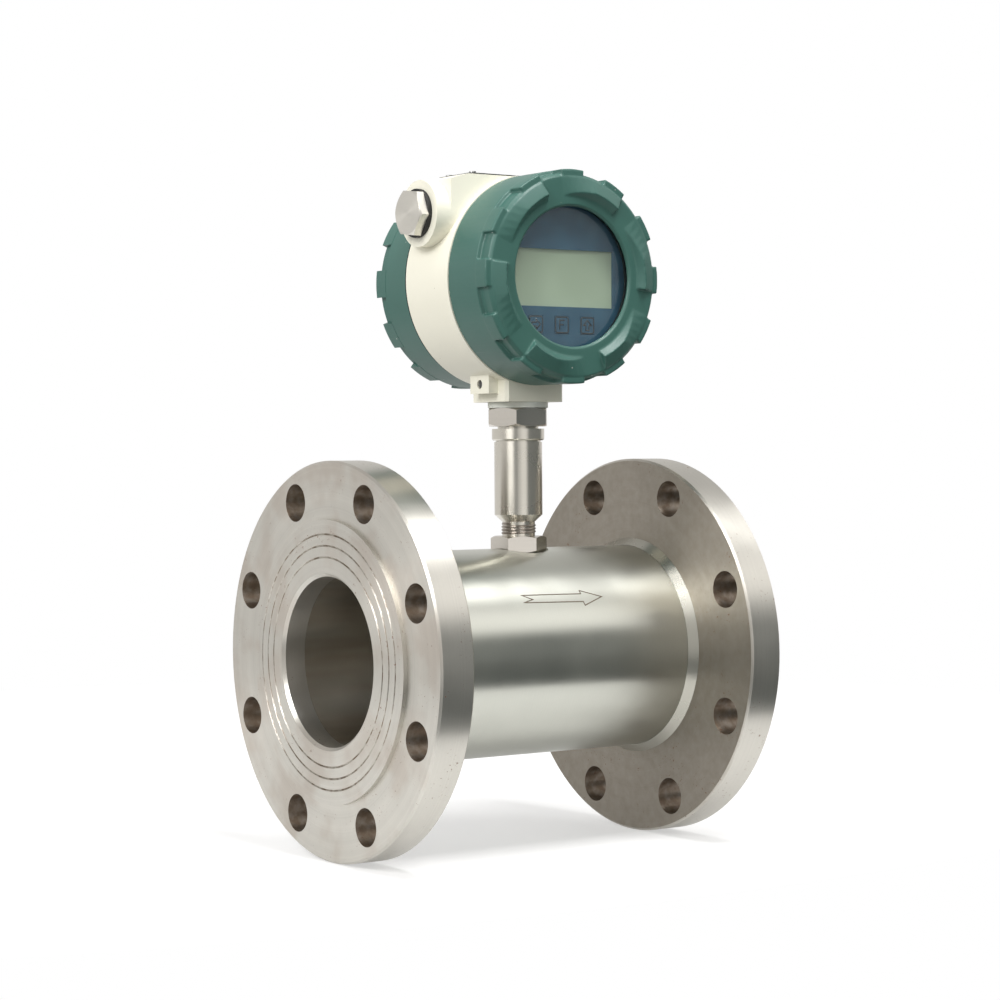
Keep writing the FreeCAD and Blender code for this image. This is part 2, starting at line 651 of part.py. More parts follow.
meter_tube = new_body("meter_tube")
tube_profile = new_sketch(meter_tube, "XZ_Plane", "tube_profile")
draw_outline(tube_profile, tube_corners(tube_start, tube_end, tube_dia, bore_dia))
turned(meter_tube, tube_profile, "H_Axis")
for end, side in (("inlet", -1), ("outlet", 1)):
    clip_groove = new_sketch(meter_tube, "XZ_Plane", end + "_clip_groove")
    middle = stem_place + clip_offset * side
    half = clip_thick / 2 + fit_gap
    draw_outline(clip_groove, [
        (middle - half, bore_dia / 2 - fit_gap),
        (middle + half, bore_dia / 2 - fit_gap),
        (middle + half, bore_dia / 2 + clip_deep),
        (middle - half, bore_dia / 2 + clip_deep),
    ])
    turned(meter_tube, clip_groove, "H_Axis", cut=True)
probe_hole = new_sketch(meter_tube, "XY_Plane", "probe_hole", bore_dia / 2 + probe_floor)
draw_circle(probe_hole, probe_dia + 2 * fit_gap, stem_place, 0)
cut_deep(meter_tube, probe_hole, tube_dia / 2, reverse=True)
spot_face = new_sketch(meter_tube, "XY_Plane", "spot_face", spot_height)
draw_circle(spot_face, spot_dia, stem_place, 0)
cut_deep(meter_tube, spot_face, tube_dia / 2, reverse=True)


# ---------------------------------------------------------------- rotor

def make_rotor():
    """Hub with helical blades, each lofted through twisted sections and trimmed to its tip."""
    body = new_body("rotor", (stem_place, 0, 0))
    hub = new_sketch(body, "XZ_Plane", "rotor_hub")
    half = rotor_hub_length / 2
    draw_outline(hub, [
        (-half, shaft_dia / 2 + seat_gap),
        (half, shaft_dia / 2 + seat_gap),
        (half, hub_dia / 2 - rotor_bore_cone),
        (half - rotor_bore_cone, hub_dia / 2),
        (rotor_bore_cone - half, hub_dia / 2),
        (-half, hub_dia / 2 - rotor_bore_cone),
    ])
    turned(body, hub, "H_Axis")
    sections = []
    stations = 5
    for number in range(stations):
        along = blade_length * (number / (stations - 1) - 0.5)
        twist = along * 360 / blade_lead
        section = new_sketch(body, "YZ_Plane", "blade_section_%d" % number, along,
                             (Vector(0, 0, 1), twist))
        low, high = hub_dia / 2 - blade_root, bore_dia / 2
        draw_outline(section, box_corners(blade_thick, high - low, 0, (low + high) / 2))
        sections.append(section)
    blade = lofted(body, sections, ruled=False)
    patterned(body, [blade], "X_Axis", blade_count)
    tips = new_sketch(body, "XZ_Plane", "blade_tips")
    draw_outline(tips, tube_corners(-rotor_hub_length, rotor_hub_length,
                                    bore_dia * 1.2, bore_dia - 2 * tip_gap))
    turned(body, tips, "H_Axis", cut=True)
    return body


make_rotor()
shaft_half = shaft_length / 2
shaft_point = shaft_dia / 8
ring_body("rotor_shaft", "XZ_Plane", "H_Axis", [
    (-shaft_half, 0),
    (shaft_half, 0),
    (shaft_half, shaft_dia / 2 - shaft_point),
    (shaft_half - shaft_point, shaft_dia / 2),
    (shaft_point - shaft_half, shaft_dia / 2),
    (-shaft_half, shaft_dia / 2 - shaft_point),
], (stem_place, 0, 0))


# ---------------------------------------------------------------- guides and bearings

bush_hole_end = shaft_half + thrust_gap + pad_thick + seat_gap


def make_guide(label, turn, nose):
    """Hub with straightening vanes upstream of the rotor at x = 0; nose ends its outline."""
    body = new_body(label, (stem_place, 0, 0), turn)
    profile = new_sketch(body, "XZ_Plane", label + "_hub")
    bush_hole = bush_dia / 2 + seat_gap
    draw_outline(profile, [
        (-guide_near, bush_hole),
        (-guide_near, hub_dia / 2),
    ] + nose + [
        (-bush_hole_end, 0),
        (-bush_hole_end, bush_hole),
    ])
    turned(body, profile, "H_Axis")
    far = guide_near + vane_setback + vane_length
    vane = new_sketch(body, "XZ_Plane", label + "_vane")
    tip = bore_dia / 2 - vane_gap
    notch_floor = clip_inner_dia / 2 - fit_gap
    notch = clip_thick / 2 + fit_gap
    swept = vane_length / 5
    draw_outline(vane, [
        (-far, hub_dia / 2 - blade_root),
        (-guide_near - vane_setback, hub_dia / 2 - blade_root),
        (-guide_near - vane_setback, tip),
        (notch - clip_offset, tip),
        (notch - clip_offset, notch_floor),
        (-notch - clip_offset, notch_floor),
        (-notch - clip_offset, tip),
        (swept - far, tip),
        (-far, hub_dia / 2),
    ])
    pad = padded(body, vane, vane_thick, symmetric=True)
    patterned(body, [pad], "X_Axis", vane_count)
    return body


inlet_far = guide_near + inlet_hub_length
nose_drop = (hub_dia - nose_tip_dia) / 2
nose_curve = (inlet_nose_length * inlet_nose_length / nose_drop + nose_drop) / 2
make_guide("inlet_guide", None, [
    (-inlet_far, hub_dia / 2, nose_curve),
    (-inlet_far - inlet_nose_length, nose_tip_dia / 2),
    (-inlet_far - inlet_nose_length, 0),
])
outlet_far = guide_near + outlet_hub_length
make_guide("outlet_guide", half_turn, [
    (-outlet_far, hub_dia / 2),
    (-outlet_far - outlet_tail_length, tail_tip_dia / 2),
    (-outlet_far - outlet_tail_length, 0),
])


def make_clip(label, turn):
    """Retaining clip that snaps into the tube's groove and the vanes' notches."""
    body = new_body(label, (stem_place, 0, 0), turn)
    profile = new_sketch(body, "YZ_Plane", label + "_ring", -clip_offset - clip_thick / 2)
    draw_circle(profile, bore_dia + 2 * clip_deep - 2 * fit_gap)
    draw_circle(profile, clip_inner_dia)
    padded(body, profile, clip_thick)
    gap = new_sketch(body, "YZ_Plane", label + "_opening")
    reach = bore_dia
    draw_outline(gap, [
        (0, 0),
        (-reach * sine(clip_open_angle / 2), -reach * cosine(clip_open_angle / 2)),
        (reach * sine(clip_open_angle / 2), -reach * cosine(clip_open_angle / 2)),
    ])
    cut_through(body, gap)
    eye_circle = clip_inner_dia / 2 - clip_eye_in
    eye_turn = clip_open_angle / 2 + clip_eye_angle
    for name, side in (("left", -1), ("right", 1)):
        eye_y, eye_z = eye_circle * sine(eye_turn) * side, -eye_circle * cosine(eye_turn)
        eye = new_sketch(body, "YZ_Plane", "%s_%s_eye" % (label, name),
                         -clip_offset - clip_thick / 2)
        draw_circle(eye, clip_lug_dia, eye_y, eye_z)
        padded(body, eye, clip_thick)
        hole = new_sketch(body, "YZ_Plane", "%s_%s_hole" % (label, name))
        draw_circle(hole, clip_eye_dia, eye_y, eye_z)
        cut_through(body, hole)
    return body


for end, turn in (("inlet", None), ("outlet", half_turn)):
    make_clip(end + "_clip", turn)
    pad_face = -shaft_half - thrust_gap
    bush_bore = shaft_dia + 2 * running_gap
    ring_body(end + "_bush", "XZ_Plane", "H_Axis",
              tube_corners(pad_face + seat_gap, -guide_near, bush_dia, bush_bore),
              (stem_place, 0, 0), turn)
    ring_body(end + "_thrust_pad", "XZ_Plane", "H_Axis",
              tube_corners(pad_face - pad_thick, pad_face, bush_dia),
              (stem_place, 0, 0), turn)


# ---------------------------------------------------------------- pick-up stem

def make_nut(label, flats, height, hole_dia, floor, turn):
    """Hexagon nut round the stem, with its corners chamfered above and below."""
    body = new_body(label, (stem_place, 0, 0))
    blank = new_sketch(body, "XY_Plane", label + "_blank", floor)
    draw_outline(blank, hexagon(flats, turn))
    draw_circle(blank, hole_dia)
    padded(body, blank, height)
    corner = flats / 2 / math.cos(math.radians(30))
    drop = (corner - flats / 2) * math.tan(math.radians(30))
    crown = new_sketch(body, "XZ_Plane", label + "_crown")
    for level, way in ((floor, 1), (floor + height, -1)):
        draw_outline(crown, [
            (flats / 2, level),
            (corner + fit_gap, level),
            (corner + fit_gap, level + drop * way),
        ])
    turned(body, crown, "V_Axis", cut=True)
    return body


make_nut("lock_nut", lock_nut_flats, lock_nut_height, probe_dia + 2 * fit_gap,
         spot_height + seat_gap, lock_nut_angle)
washer_top = head_seat - swivel_gap
washer_low = washer_top - washer_thick
make_nut("top_nut", top_nut_flats, top_nut_height, neck_dia + 2 * fit_gap,
         washer_low - seat_gap - top_nut_height, top_nut_angle)
ring_body("seat_washer", "XZ_Plane", "V_Axis",
          upright(tube_corners(washer_low, washer_top, washer_dia, neck_dia + 2 * fit_gap)),
          (stem_place, 0, 0))

probe_end = bore_dia / 2 + probe_floor + fit_gap
sleeve_bottom = probe_end + sleeve_floor
neck_top = collar_high + neck_length
ring_body("pickup_sleeve", "XZ_Plane", "V_Axis", [
    (0, probe_end),
    (probe_dia / 2 - neck_chamfer, probe_end),
    (probe_dia / 2, probe_end + neck_chamfer),
    (probe_dia / 2, cone_low),
    (sleeve_dia / 2, cone_high),
    (sleeve_dia / 2, collar_low - 2 * collar_groove),
    (sleeve_dia / 2 - collar_groove, collar_low - 2 * collar_groove),
    (sleeve_dia / 2 - collar_groove, collar_low - collar_groove),
    (collar_dia / 2 - collar_groove, collar_low - collar_groove),
    (collar_dia / 2, collar_low),
    (collar_dia / 2, collar_high),
    (neck_dia / 2, collar_high),
    (neck_dia / 2, neck_top - neck_chamfer),
    (neck_dia / 2 - neck_chamfer, neck_top),
    (sleeve_bore_dia / 2, neck_top),
    (sleeve_bore_dia / 2, sleeve_bottom),
    (0, sleeve_bottom),
], (stem_place, 0, 0))

coil_low = sleeve_bottom + seat_gap
coil_high = coil_low + bobbin_length
core_dia = pole_dia + 2 * fit_gap + 2 * bobbin_wall
ring_body("coil_bobbin", "XZ_Plane", "V_Axis", upright([
    (coil_low, pole_dia / 2 + fit_gap),
    (coil_low, bobbin_dia / 2),
    (coil_low + bobbin_wall, bobbin_dia / 2),
    (coil_low + bobbin_wall, core_dia / 2),
    (coil_high - bobbin_wall, core_dia / 2),
    (coil_high - bobbin_wall, bobbin_dia / 2),
    (coil_high, bobbin_dia / 2),
    (coil_high, pole_dia / 2 + fit_gap),
]), (stem_place, 0, 0))
ring_body("coil_winding", "XZ_Plane", "V_Axis", upright(tube_corners(
    coil_low + bobbin_wall + seat_gap, coil_high - bobbin_wall - seat_gap,
    winding_dia, core_dia + 2 * seat_gap)), (stem_place, 0, 0))
ring_body("pole_piece", "XZ_Plane", "V_Axis",
          upright(tube_corners(coil_low, coil_high, pole_dia)), (stem_place, 0, 0))
magnet_low = coil_high + seat_gap
magnet_high = magnet_low + magnet_length
ring_body("pickup_magnet", "XZ_Plane", "V_Axis",
          upright(tube_corners(magnet_low, magnet_high, magnet_dia)), (stem_place, 0, 0))


# ---------------------------------------------------------------- head housing

head = (stem_place, 0, head_height)
neck_front = band_front + thread_length
neck_rear = band_rear + thread_length
base_low = -base_drop


def make_housing():
    """Cast housing: a band with two threaded necks, entry bosses, a crown and a base block."""
    body = new_body("head_housing", head)
    band = new_sketch(body, "YZ_Plane", "housing_band")
    draw_outline(band, [
        (-neck_front, 0),
        (-neck_front, thread_dia / 2),
        (-band_front, thread_dia / 2),
        (-band_front, housing_dia / 2),
        (band_rear, housing_dia / 2),
        (band_rear, thread_dia / 2),
        (neck_rear, thread_dia / 2),
        (neck_rear, 0),
    ])
    turned(body, band, "H_Axis")
    bosses = new_sketch(body, "YZ_Plane", "entry_bosses")
    draw_circle(bosses, entry_boss_dia, entry_back, entry_height)
    padded(body, bosses, 2 * entry_reach, symmetric=True)
    crown = new_sketch(body, "XZ_Plane", "crown", -entry_back)
    boss_top = entry_height + entry_boss_dia / 2
    draw_outline(crown, [
        (-shoulder_half, entry_height),
        (shoulder_half, entry_height),
        (shoulder_half, boss_top),
        (crown_half, crown_height),
        (-crown_half, crown_height),
        (-shoulder_half, boss_top),
    ])
    padded(body, crown, entry_boss_dia, symmetric=True)
    flat = new_sketch(body, "XZ_Plane", "flat_top")
    draw_outline(flat, [
        (-housing_dia / 2, crown_height),
        (housing_dia / 2, crown_height),
        (housing_dia / 2, housing_dia),
        (-housing_dia / 2, housing_dia),
    ])
    cut_through(body, flat)
    block = new_sketch(body, "XY_Plane", "base_block", base_low)
    draw_outline(block, bevelled_box(base_wide, base_deep, base_corner))
    block_top = (housing_dia + cavity_dia) / 4
    padded(body, block, -base_low - block_top)
    lug = new_sketch(body, "YZ_Plane", "earth_lug", -base_wide / 2 - lug_out)
    draw_outline(lug, box_corners(lug_wide, lug_high, 0, -lug_drop))
    padded(body, lug, base_wide / 2)
    hollow = new_sketch(body, "YZ_Plane", "hollow")
    draw_outline(hollow, [
        (-neck_front - cut_past, 0),
        (neck_rear + cut_past, 0),
        (neck_rear + cut_past, cavity_dia / 2),
        (shelf_front + shelf_thick, cavity_dia / 2),
        (shelf_front + shelf_thick, shelf_dia / 2),
        (shelf_front, shelf_dia / 2),
        (shelf_front, cavity_dia / 2),
        (-neck_front - cut_past, cavity_dia / 2),
    ])
    turned(body, hollow, "H_Axis", cut=True)
    stem_hole = new_sketch(body, "XY_Plane", "stem_hole", base_low)
    draw_circle(stem_hole, neck_dia + 2 * thread_gap)
    cut_deep(body, stem_hole, -base_low - cavity_dia / 2 + stem_hole_past, reverse=True)
    plug_hole_dia = plug_shank_dia + 2 * thread_gap
    for name, side, diameter in (("left", -1, plug_hole_dia), ("right", 1, entry_dia)):
        entry = new_sketch(body, "YZ_Plane", name + "_entry", entry_reach * side)
        draw_circle(entry, diameter, entry_back, entry_height)
        cut_deep(body, entry, entry_length, reverse=side < 0)
        pocket = new_sketch(body, "YZ_Plane", name + "_pocket", (entry_reach - entry_length) * side)
        draw_circle(pocket, entry_pocket_dia, entry_back, entry_height)
        cut_deep(body, pocket, entry_pocket_deep, reverse=side < 0)
    earth_hole = new_sketch(body, "YZ_Plane", "earth_hole", -base_wide / 2 - lug_out)
    draw_circle(earth_hole, earth_hole_dia, 0, -lug_drop)
    cut_deep(body, earth_hole, earth_hole_deep, reverse=True)
    return body


make_housing()


# ---------------------------------------------------------------- covers

def add_lugs(body, name, low):
    """Grip lugs round a cover, from low along +Y."""
    half = lug_angle / 2
    foot = grip_dia / 2 - lug_root
    tip = lug_tip_dia / 2
    lug = new_sketch(body, "XZ_Plane", name + "_lug", -low)
    draw_outline(lug, [
        (-foot * sine(half), foot * cosine(half)),
        (foot * sine(half), foot * cosine(half)),
        (tip * sine(half), tip * cosine(half), tip),
        (-tip * sine(half), tip * cosine(half)),
    ])
    pad = padded(body, lug, lug_length, reverse=True)
    patterned(body, [pad], "Y_Axis", lug_count)


def make_front_cover():
    """Window cover with grip lugs and ramped pads round the opening."""
    body = new_body("front_cover", head)
    face = -front_reach
    edge = cover_gap + band_front
    lip = face + lip_thick
    pocket = lip + pocket_deep
    hollow_end = pocket + hollow_deep
    bore = thread_dia / 2 + thread_gap
    profile = new_sketch(body, "YZ_Plane", "front_cover_profile")
    draw_outline(profile, [
        (-edge, seal_recess_dia / 2),
        (-edge, cover_dia / 2),
        (face + grip_length, cover_dia / 2),
        (face + grip_length - grip_slope, grip_dia / 2),
        (face + rim_chamfer, grip_dia / 2),
        (face, grip_dia / 2 - rim_chamfer),
        (face, window_dia / 2 + window_chamfer),
        (face + window_chamfer, window_dia / 2),
        (lip, window_dia / 2),
        (lip, pocket_dia / 2),
        (pocket, pocket_dia / 2),
        (pocket, hollow_dia / 2),
        (hollow_end, hollow_dia / 2),
        (hollow_end, bore),
        (-edge - seal_recess_deep, bore),
        (-edge - seal_recess_deep, seal_recess_dia / 2),
    ])
    turned(body, profile, "H_Axis")
    add_lugs(body, "front", face + fit_gap)
    sections = []
    start_edge = (face - pad_start_height, pad_outer_dia / 2 - pad_start_inset)
    crest = (face - pad_height, pad_crest_dia / 2)
    for number, ridge in enumerate((start_edge, crest, crest)):
        angle = pad_start + pad_angle / 2 * number
        section = new_sketch(body, "YZ_Plane", "pad_section_%d" % number, 0,
                             (Vector(1, 0, 0), angle))
        draw_outline(section, [
            (face + pad_root, pad_outer_dia / 2),
            (face - seat_gap, pad_outer_dia / 2),
            ridge,
            (face - seat_gap, pad_foot_dia / 2),
            (face + pad_root, pad_foot_dia / 2),
        ])
        sections.append(section)
    pad = lofted(body, sections, ruled=True)
    patterned(body, [pad], "Y_Axis", pad_count)
    return body


def make_rear_cover():
    """Blind cover with the same grip lugs and a shallow dish."""
    body = new_body("rear_cover", head)
    edge = band_rear + rear_seal_thick + cover_gap
    bore = thread_dia / 2 + thread_gap
    thread_end = edge + thread_length + cover_gap
    profile = new_sketch(body, "YZ_Plane", "rear_cover_profile")
    draw_outline(profile, [
        (edge, bore),
        (edge, cover_dia / 2),
        (rear_reach - grip_length, cover_dia / 2),
        (rear_reach - grip_length + grip_slope, grip_dia / 2),
        (rear_reach - rim_chamfer, grip_dia / 2),
        (rear_reach, grip_dia / 2 - rim_chamfer),
        (rear_reach, dish_dia / 2 + dish_deep),
        (rear_reach - dish_deep, dish_dia / 2),
        (rear_reach - dish_deep, 0),
        (rear_reach - dish_deep - rear_wall, 0),
        (rear_reach - dish_deep - rear_wall, hollow_dia / 2),
        (thread_end, hollow_dia / 2),
        (thread_end, bore),
    ])
    turned(body, profile, "H_Axis")
    add_lugs(body, "rear", rear_reach - fit_gap - lug_length)
    return body


make_front_cover()
make_rear_cover()

seal_middle = (thread_dia + seal_recess_dia) / 4
front_seal = doc.addObject("Part::Torus", "front_seal")
front_seal.Label = "front_seal"
front_seal.Placement = Placement(Vector(0, 0, 0), Rotation(Vector(1, 0, 0), 90))
bind(front_seal, "Radius1", seal_middle)
bind(front_seal, "Radius2", front_seal_dia / 2)
place(front_seal, (stem_place, -band_front - cover_gap - seal_recess_deep / 2, head_height))
parts.append(front_seal)
ring_body("rear_seal", "YZ_Plane", "H_Axis",
          tube_corners(band_rear + seat_gap, band_rear + rear_seal_thick,
                       cover_dia - 2 * fit_gap, thread_dia + 5 * fit_gap), head)

# Window stack, from the lip inwards
gasket_front = -front_reach + lip_thick + seat_gap
gasket_back = gasket_front + gasket_thick
glass_front = gasket_back + seat_gap
glass_back = glass_front + glass_thick
retainer_front = glass_back + seat_gap
ring_body("window_gasket", "YZ_Plane", "H_Axis",
          tube_corners(gasket_front, gasket_back, glass_dia, gasket_inner_dia), head)
ring_body("window_glass", "YZ_Plane", "H_Axis",
          tube_corners(glass_front, glass_back, glass_dia), head)
ring_body("glass_retainer", "YZ_Plane", "H_Axis",
          tube_corners(retainer_front, retainer_front + retainer_thick,
                       glass_dia + 2 * fit_gap, retainer_inner_dia), head)


# ---------------------------------------------------------------- display

plate_back = -carrier_front + plate_thick
module_front = plate_back + seat_gap
board_front = module_front + module_thick + seat_gap
board_back = board_front + board_thick
ring_body("display_carrier", "YZ_Plane", "H_Axis", [
    (-carrier_back, carrier_hole_dia / 2),
    (-carrier_back, carrier_dia / 2),
    (-carrier_front, carrier_dia / 2),
    (-carrier_front, plate_dia / 2 + fit_gap),
    (plate_back, plate_dia / 2 + fit_gap),
    (plate_back, carrier_dia / 2 - carrier_wall),
    (board_back, carrier_dia / 2 - carrier_wall),
    (board_back, carrier_dia / 2 - 2 * carrier_wall),
    (-carrier_back - carrier_floor, carrier_dia / 2 - 2 * carrier_wall),
    (-carrier_back - carrier_floor, carrier_hole_dia / 2),
], head)

key_places = {"key_left": -key_shift - key_pitch, "key_middle": -key_shift,
              "key_right": key_pitch - key_shift}

face_plate = new_body("face_plate", head)
plate_profile = new_sketch(face_plate, "XZ_Plane", "plate_profile", carrier_front)
draw_circle(plate_profile, plate_dia)
draw_outline(plate_profile, box_corners(screen_wide, screen_high, 0, -screen_drop))
for key_x in key_places.values():
    hole = key_side + 2 * key_gap
    draw_outline(plate_profile, box_corners(hole, hole, key_x, -key_drop))
padded(face_plate, plate_profile, plate_thick, reverse=True)

lcd_module = new_body("lcd_module", head)
module_profile = new_sketch(lcd_module, "XZ_Plane", "module_profile", -module_front)
draw_outline(module_profile, box_corners(screen_wide + 2 * module_margin,
                                         screen_high + 2 * module_margin, 0, -screen_drop))
padded(lcd_module, module_profile, module_thick, reverse=True)

ring_body("display_board", "YZ_Plane", "H_Axis",
          tube_corners(board_front, board_back, display_board_dia), head)


def make_key(label, key_x):
    """Square key that stands in the face plate, with a brim behind it."""
    body = new_body(label, head)
    brim_front = plate_back + fit_gap
    cap = new_sketch(body, "XZ_Plane", label + "_cap", carrier_front + key_proud)
    draw_outline(cap, box_corners(key_side, key_side, key_x, -key_drop))
    padded(body, cap, carrier_front + key_proud + brim_front + key_brim_thick, reverse=True)
    brim = new_sketch(body, "XZ_Plane", label + "_brim", -brim_front)
    side = key_side + 2 * key_brim
    draw_outline(brim, box_corners(side, side, key_x, -key_drop))
    padded(body, brim, key_brim_thick, reverse=True)
    return body


for label, key_x in key_places.items():
    make_key(label, key_x)

key_foot = plate_back + fit_gap + key_brim_thick
switch_front = key_foot + key_travel + fit_gap
key_switches = new_body("key_switches", head)
switch_profile = new_sketch(key_switches, "XZ_Plane", "switch_profile", -switch_front)
for key_x in key_places.values():
    draw_outline(switch_profile, box_corners(switch_side, switch_side, key_x, -key_drop))
padded(key_switches, switch_profile, board_front - seat_gap - switch_front, reverse=True)


def make_disc_board(label, front, diameter):
    return ring_body(label, "YZ_Plane", "H_Axis",
                     tube_corners(front, front + board_thick, diameter), head)


def make_pillars(label, low, high):
    """Pillars on their circle between two places along Y."""
    body = new_body(label, head)
    profile = new_sketch(body, "XZ_Plane", label + "_profile", -low)
    step = 360 / pillar_count
    for number in range(int(pillar_count.value)):
        angle = step * number
        draw_circle(profile, pillar_dia, pillar_circle / 2 * sine(angle),
                    pillar_circle / 2 * cosine(angle))
    padded(body, profile, high - low, reverse=True)
    return body


main_back = -main_board_front + board_thick
shelf_back = shelf_front + shelf_thick
terminal_front = shelf_back + terminal_stand
terminal_back = terminal_front + board_thick
make_disc_board("main_board", -main_board_front, main_board_dia)
make_pillars("display_pillars", -carrier_back + seat_gap, -main_board_front - seat_gap)
make_pillars("board_pillars", main_back + seat_gap, shelf_front - seat_gap)
make_disc_board("terminal_board", terminal_front, terminal_board_dia)
make_pillars("terminal_pillars", shelf_back + seat_gap, terminal_front - seat_gap)

# Terminal block, with a ledge for its screws
terminal_block = new_body("terminal_block", head)
block_profile = new_sketch(terminal_block, "YZ_Plane", "block_profile")
block_front = terminal_back + seat_gap
block_back = block_front + terminal_deep
draw_outline(block_profile, [
    (block_front, -terminal_high / 2),
    (block_back - terminal_recess, -terminal_high / 2),
    (block_back - terminal_recess, terminal_step - terminal_high / 2),
    (block_back, terminal_step - terminal_high / 2),
    (block_back, terminal_high / 2 - terminal_step),
    (block_back - terminal_recess, terminal_high / 2 - terminal_step),
    (block_back - terminal_recess, terminal_high / 2),
    (block_front, terminal_high / 2),
])
padded(terminal_block, block_profile, terminal_wide, symmetric=True)

terminal_screws = new_body("terminal_screws", head)
ledge = block_back - terminal_recess + seat_gap
screw_profile = new_sketch(terminal_screws, "XZ_Plane", "screw_profile", -ledge)
screw_pitch = terminal_wide / terminal_count
for number in range(int(terminal_count.value)):
    screw_x = screw_pitch * (number + 0.5) - terminal_wide / 2
    screw_z = terminal_high / 2 - terminal_step / 2
    draw_circle(screw_profile, terminal_screw_dia, screw_x, screw_z)
    draw_circle(screw_profile, terminal_screw_dia, screw_x, -screw_z)
padded(terminal_screws, screw_profile, terminal_recess / 2, reverse=True)

# Lead from the coil up the stem to its socket on the main board
socket_back = main_back + seat_gap + socket_high
lead_socket = new_body("lead_socket", head)
socket_profile = new_sketch(lead_socket, "XZ_Plane", "socket_profile", -main_back - seat_gap)
draw_outline(socket_profile, box_corners(socket_side, socket_side, 0, -lead_level))
padded(lead_socket, socket_profile, socket_high, reverse=True)

pickup_lead = new_body("pickup_lead", head)
lead_start = magnet_high + seat_gap - head_height
lead_route = new_sketch(pickup_lead, "YZ_Plane", "lead_route")
route = [
    Part.LineSegment(Vector(0, lead_start.value, 0),
                     Vector(0, -lead_level.value - lead_bend.value, 0)),
    Part.ArcOfCircle(Part.Circle(Vector(-lead_bend.value, -lead_level.value - lead_bend.value, 0),
                                 Vector(0, 0, 1), lead_bend.value), 0, math.pi / 2),
    Part.LineSegment(Vector(-lead_bend.value, -lead_level.value, 0),
                     Vector(socket_back.value + seat_gap.value, -lead_level.value, 0)),
]
for element in route:
    lead_route.addGeometry(element, False)
fix_point(lead_route, 0, 1, 0, lead_start)
fix_point(lead_route, 0, 2, 0, -lead_level - lead_bend)
fix_point(lead_route, 2, 1, -lead_bend, -lead_level)
fix_point(lead_route, 2, 2, socket_back + seat_gap, -lead_level)
lead_route.addConstraint(Sketcher.Constraint("Coincident", 0, 2, 1, 1))
lead_route.addConstraint(Sketcher.Constraint("Coincident", 1, 2, 2, 1))
bend_rule = Sketcher.Constraint("Radius", 1, lead_bend.value)
bind_rule(lead_route, lead_route.addConstraint(bend_rule), lead_bend)
lead_section = new_sketch(pickup_lead, "XY_Plane", "lead_section", lead_start)
draw_circle(lead_section, lead_dia)
lead_pipe = pickup_lead.newObject("PartDesign::AdditivePipe", "lead_pipe")
lead_pipe.Profile = lead_section
lead_pipe.Spine = lead_route
pickup_lead.Tip = lead_pipe


# ---------------------------------------------------------------- plug, earthing screw and plate

plug_face = entry_reach + plug_seal_thick + 2 * seat_gap
entry_centre = (stem_place, entry_back, head_height + entry_height)

blanking_plug = new_body("blanking_plug", entry_centre)
plug_profile = new_sketch(blanking_plug, "YZ_Plane", "plug_head", -plug_face)
draw_outline(plug_profile, hexagon(plug_flats, plug_angle))
padded(blanking_plug, plug_profile, plug_head, reverse=True)
plug_corner = plug_flats / 2 / math.cos(math.radians(30))
plug_end = -plug_face - plug_head
plug_crown = new_sketch(blanking_plug, "XZ_Plane", "plug_crown")
draw_outline(plug_crown, [
    (plug_end, plug_flats / 2),
    (plug_end + (plug_corner - plug_flats / 2) * math.tan(math.radians(30)), plug_corner + fit_gap),
    (plug_end, plug_corner + fit_gap),
])
turned(blanking_plug, plug_crown, "H_Axis", cut=True)
shank_profile = new_sketch(blanking_plug, "YZ_Plane", "plug_shank", -plug_face)
draw_circle(shank_profile, plug_shank_dia)
padded(blanking_plug, shank_profile, plug_shank + plug_seal_thick)
ring_body("plug_gasket", "XZ_Plane", "H_Axis",
          tube_corners(-plug_face + seat_gap, -entry_reach - seat_gap,
                       plug_seal_dia, plug_shank_dia + 2 * fit_gap), entry_centre)

lug_face = base_wide / 2 + lug_out
earth_screw = new_body("earth_screw", (stem_place, 0, head_height - lug_drop))
screw_length = earth_hole_deep - earth_screw_sunk - seat_gap
screw_body = new_sketch(earth_screw, "YZ_Plane", "earth_screw_body", -lug_face + earth_screw_sunk)
draw_circle(screw_body, earth_screw_dia)
padded(earth_screw, screw_body, screw_length)
slot = new_sketch(earth_screw, "YZ_Plane", "earth_screw_slot", -lug_face + earth_screw_sunk)
draw_outline(slot, box_corners(earth_screw_dia / 6, earth_screw_dia * 1.2))
cut_deep(earth_screw, slot, earth_screw_dia / 4, reverse=True)

badge_level = crown_height + seat_gap
badge_centre = (stem_place, entry_back, head_height)
blank_badge = new_body("crown_plate", badge_centre)
badge_profile = new_sketch(blank_badge, "XY_Plane", "badge_profile", badge_level)
draw_outline(badge_profile, box_corners(badge_wide, badge_deep))
padded(blank_badge, badge_profile, badge_thick)
plate_rivets = new_body("plate_rivets", badge_centre)
rivet_profile = new_sketch(plate_rivets, "XY_Plane", "rivet_profile",
                           badge_level + badge_thick + seat_gap)
for side_x in (-1, 1):
    for side_y in (-1, 1):
        draw_circle(rivet_profile, rivet_dia, (badge_wide / 2 - rivet_inset) * side_x,
                    (badge_deep / 2 - rivet_inset) * side_y)
padded(plate_rivets, rivet_profile, rivet_high)


# ---------------------------------------------------------------- checks and export

doc.recompute()
for item in doc.Objects:
    if "Invalid" in item.State or "Error" in item.State:
        raise RuntimeError("%s did not compute: %s" % (item.Label, item.State))
for part in parts:
    shape = part.Shape
    if shape.isNull() or not shape.isValid() or not shape.Solids:
        raise RuntimeError("%s has no valid solid" % part.Label)
os.makedirs("parts", exist_ok=True)
for part in parts:
    part.Shape.exportStep("parts/%s.step" % part.Label)
print("%d sub-parts" % len(parts))
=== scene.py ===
"""Looks of the turbine flow meter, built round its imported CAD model. Metres, in the CAD's frame."""

import json
import math

import bmesh
import bpy
from mathutils import Matrix, Vector


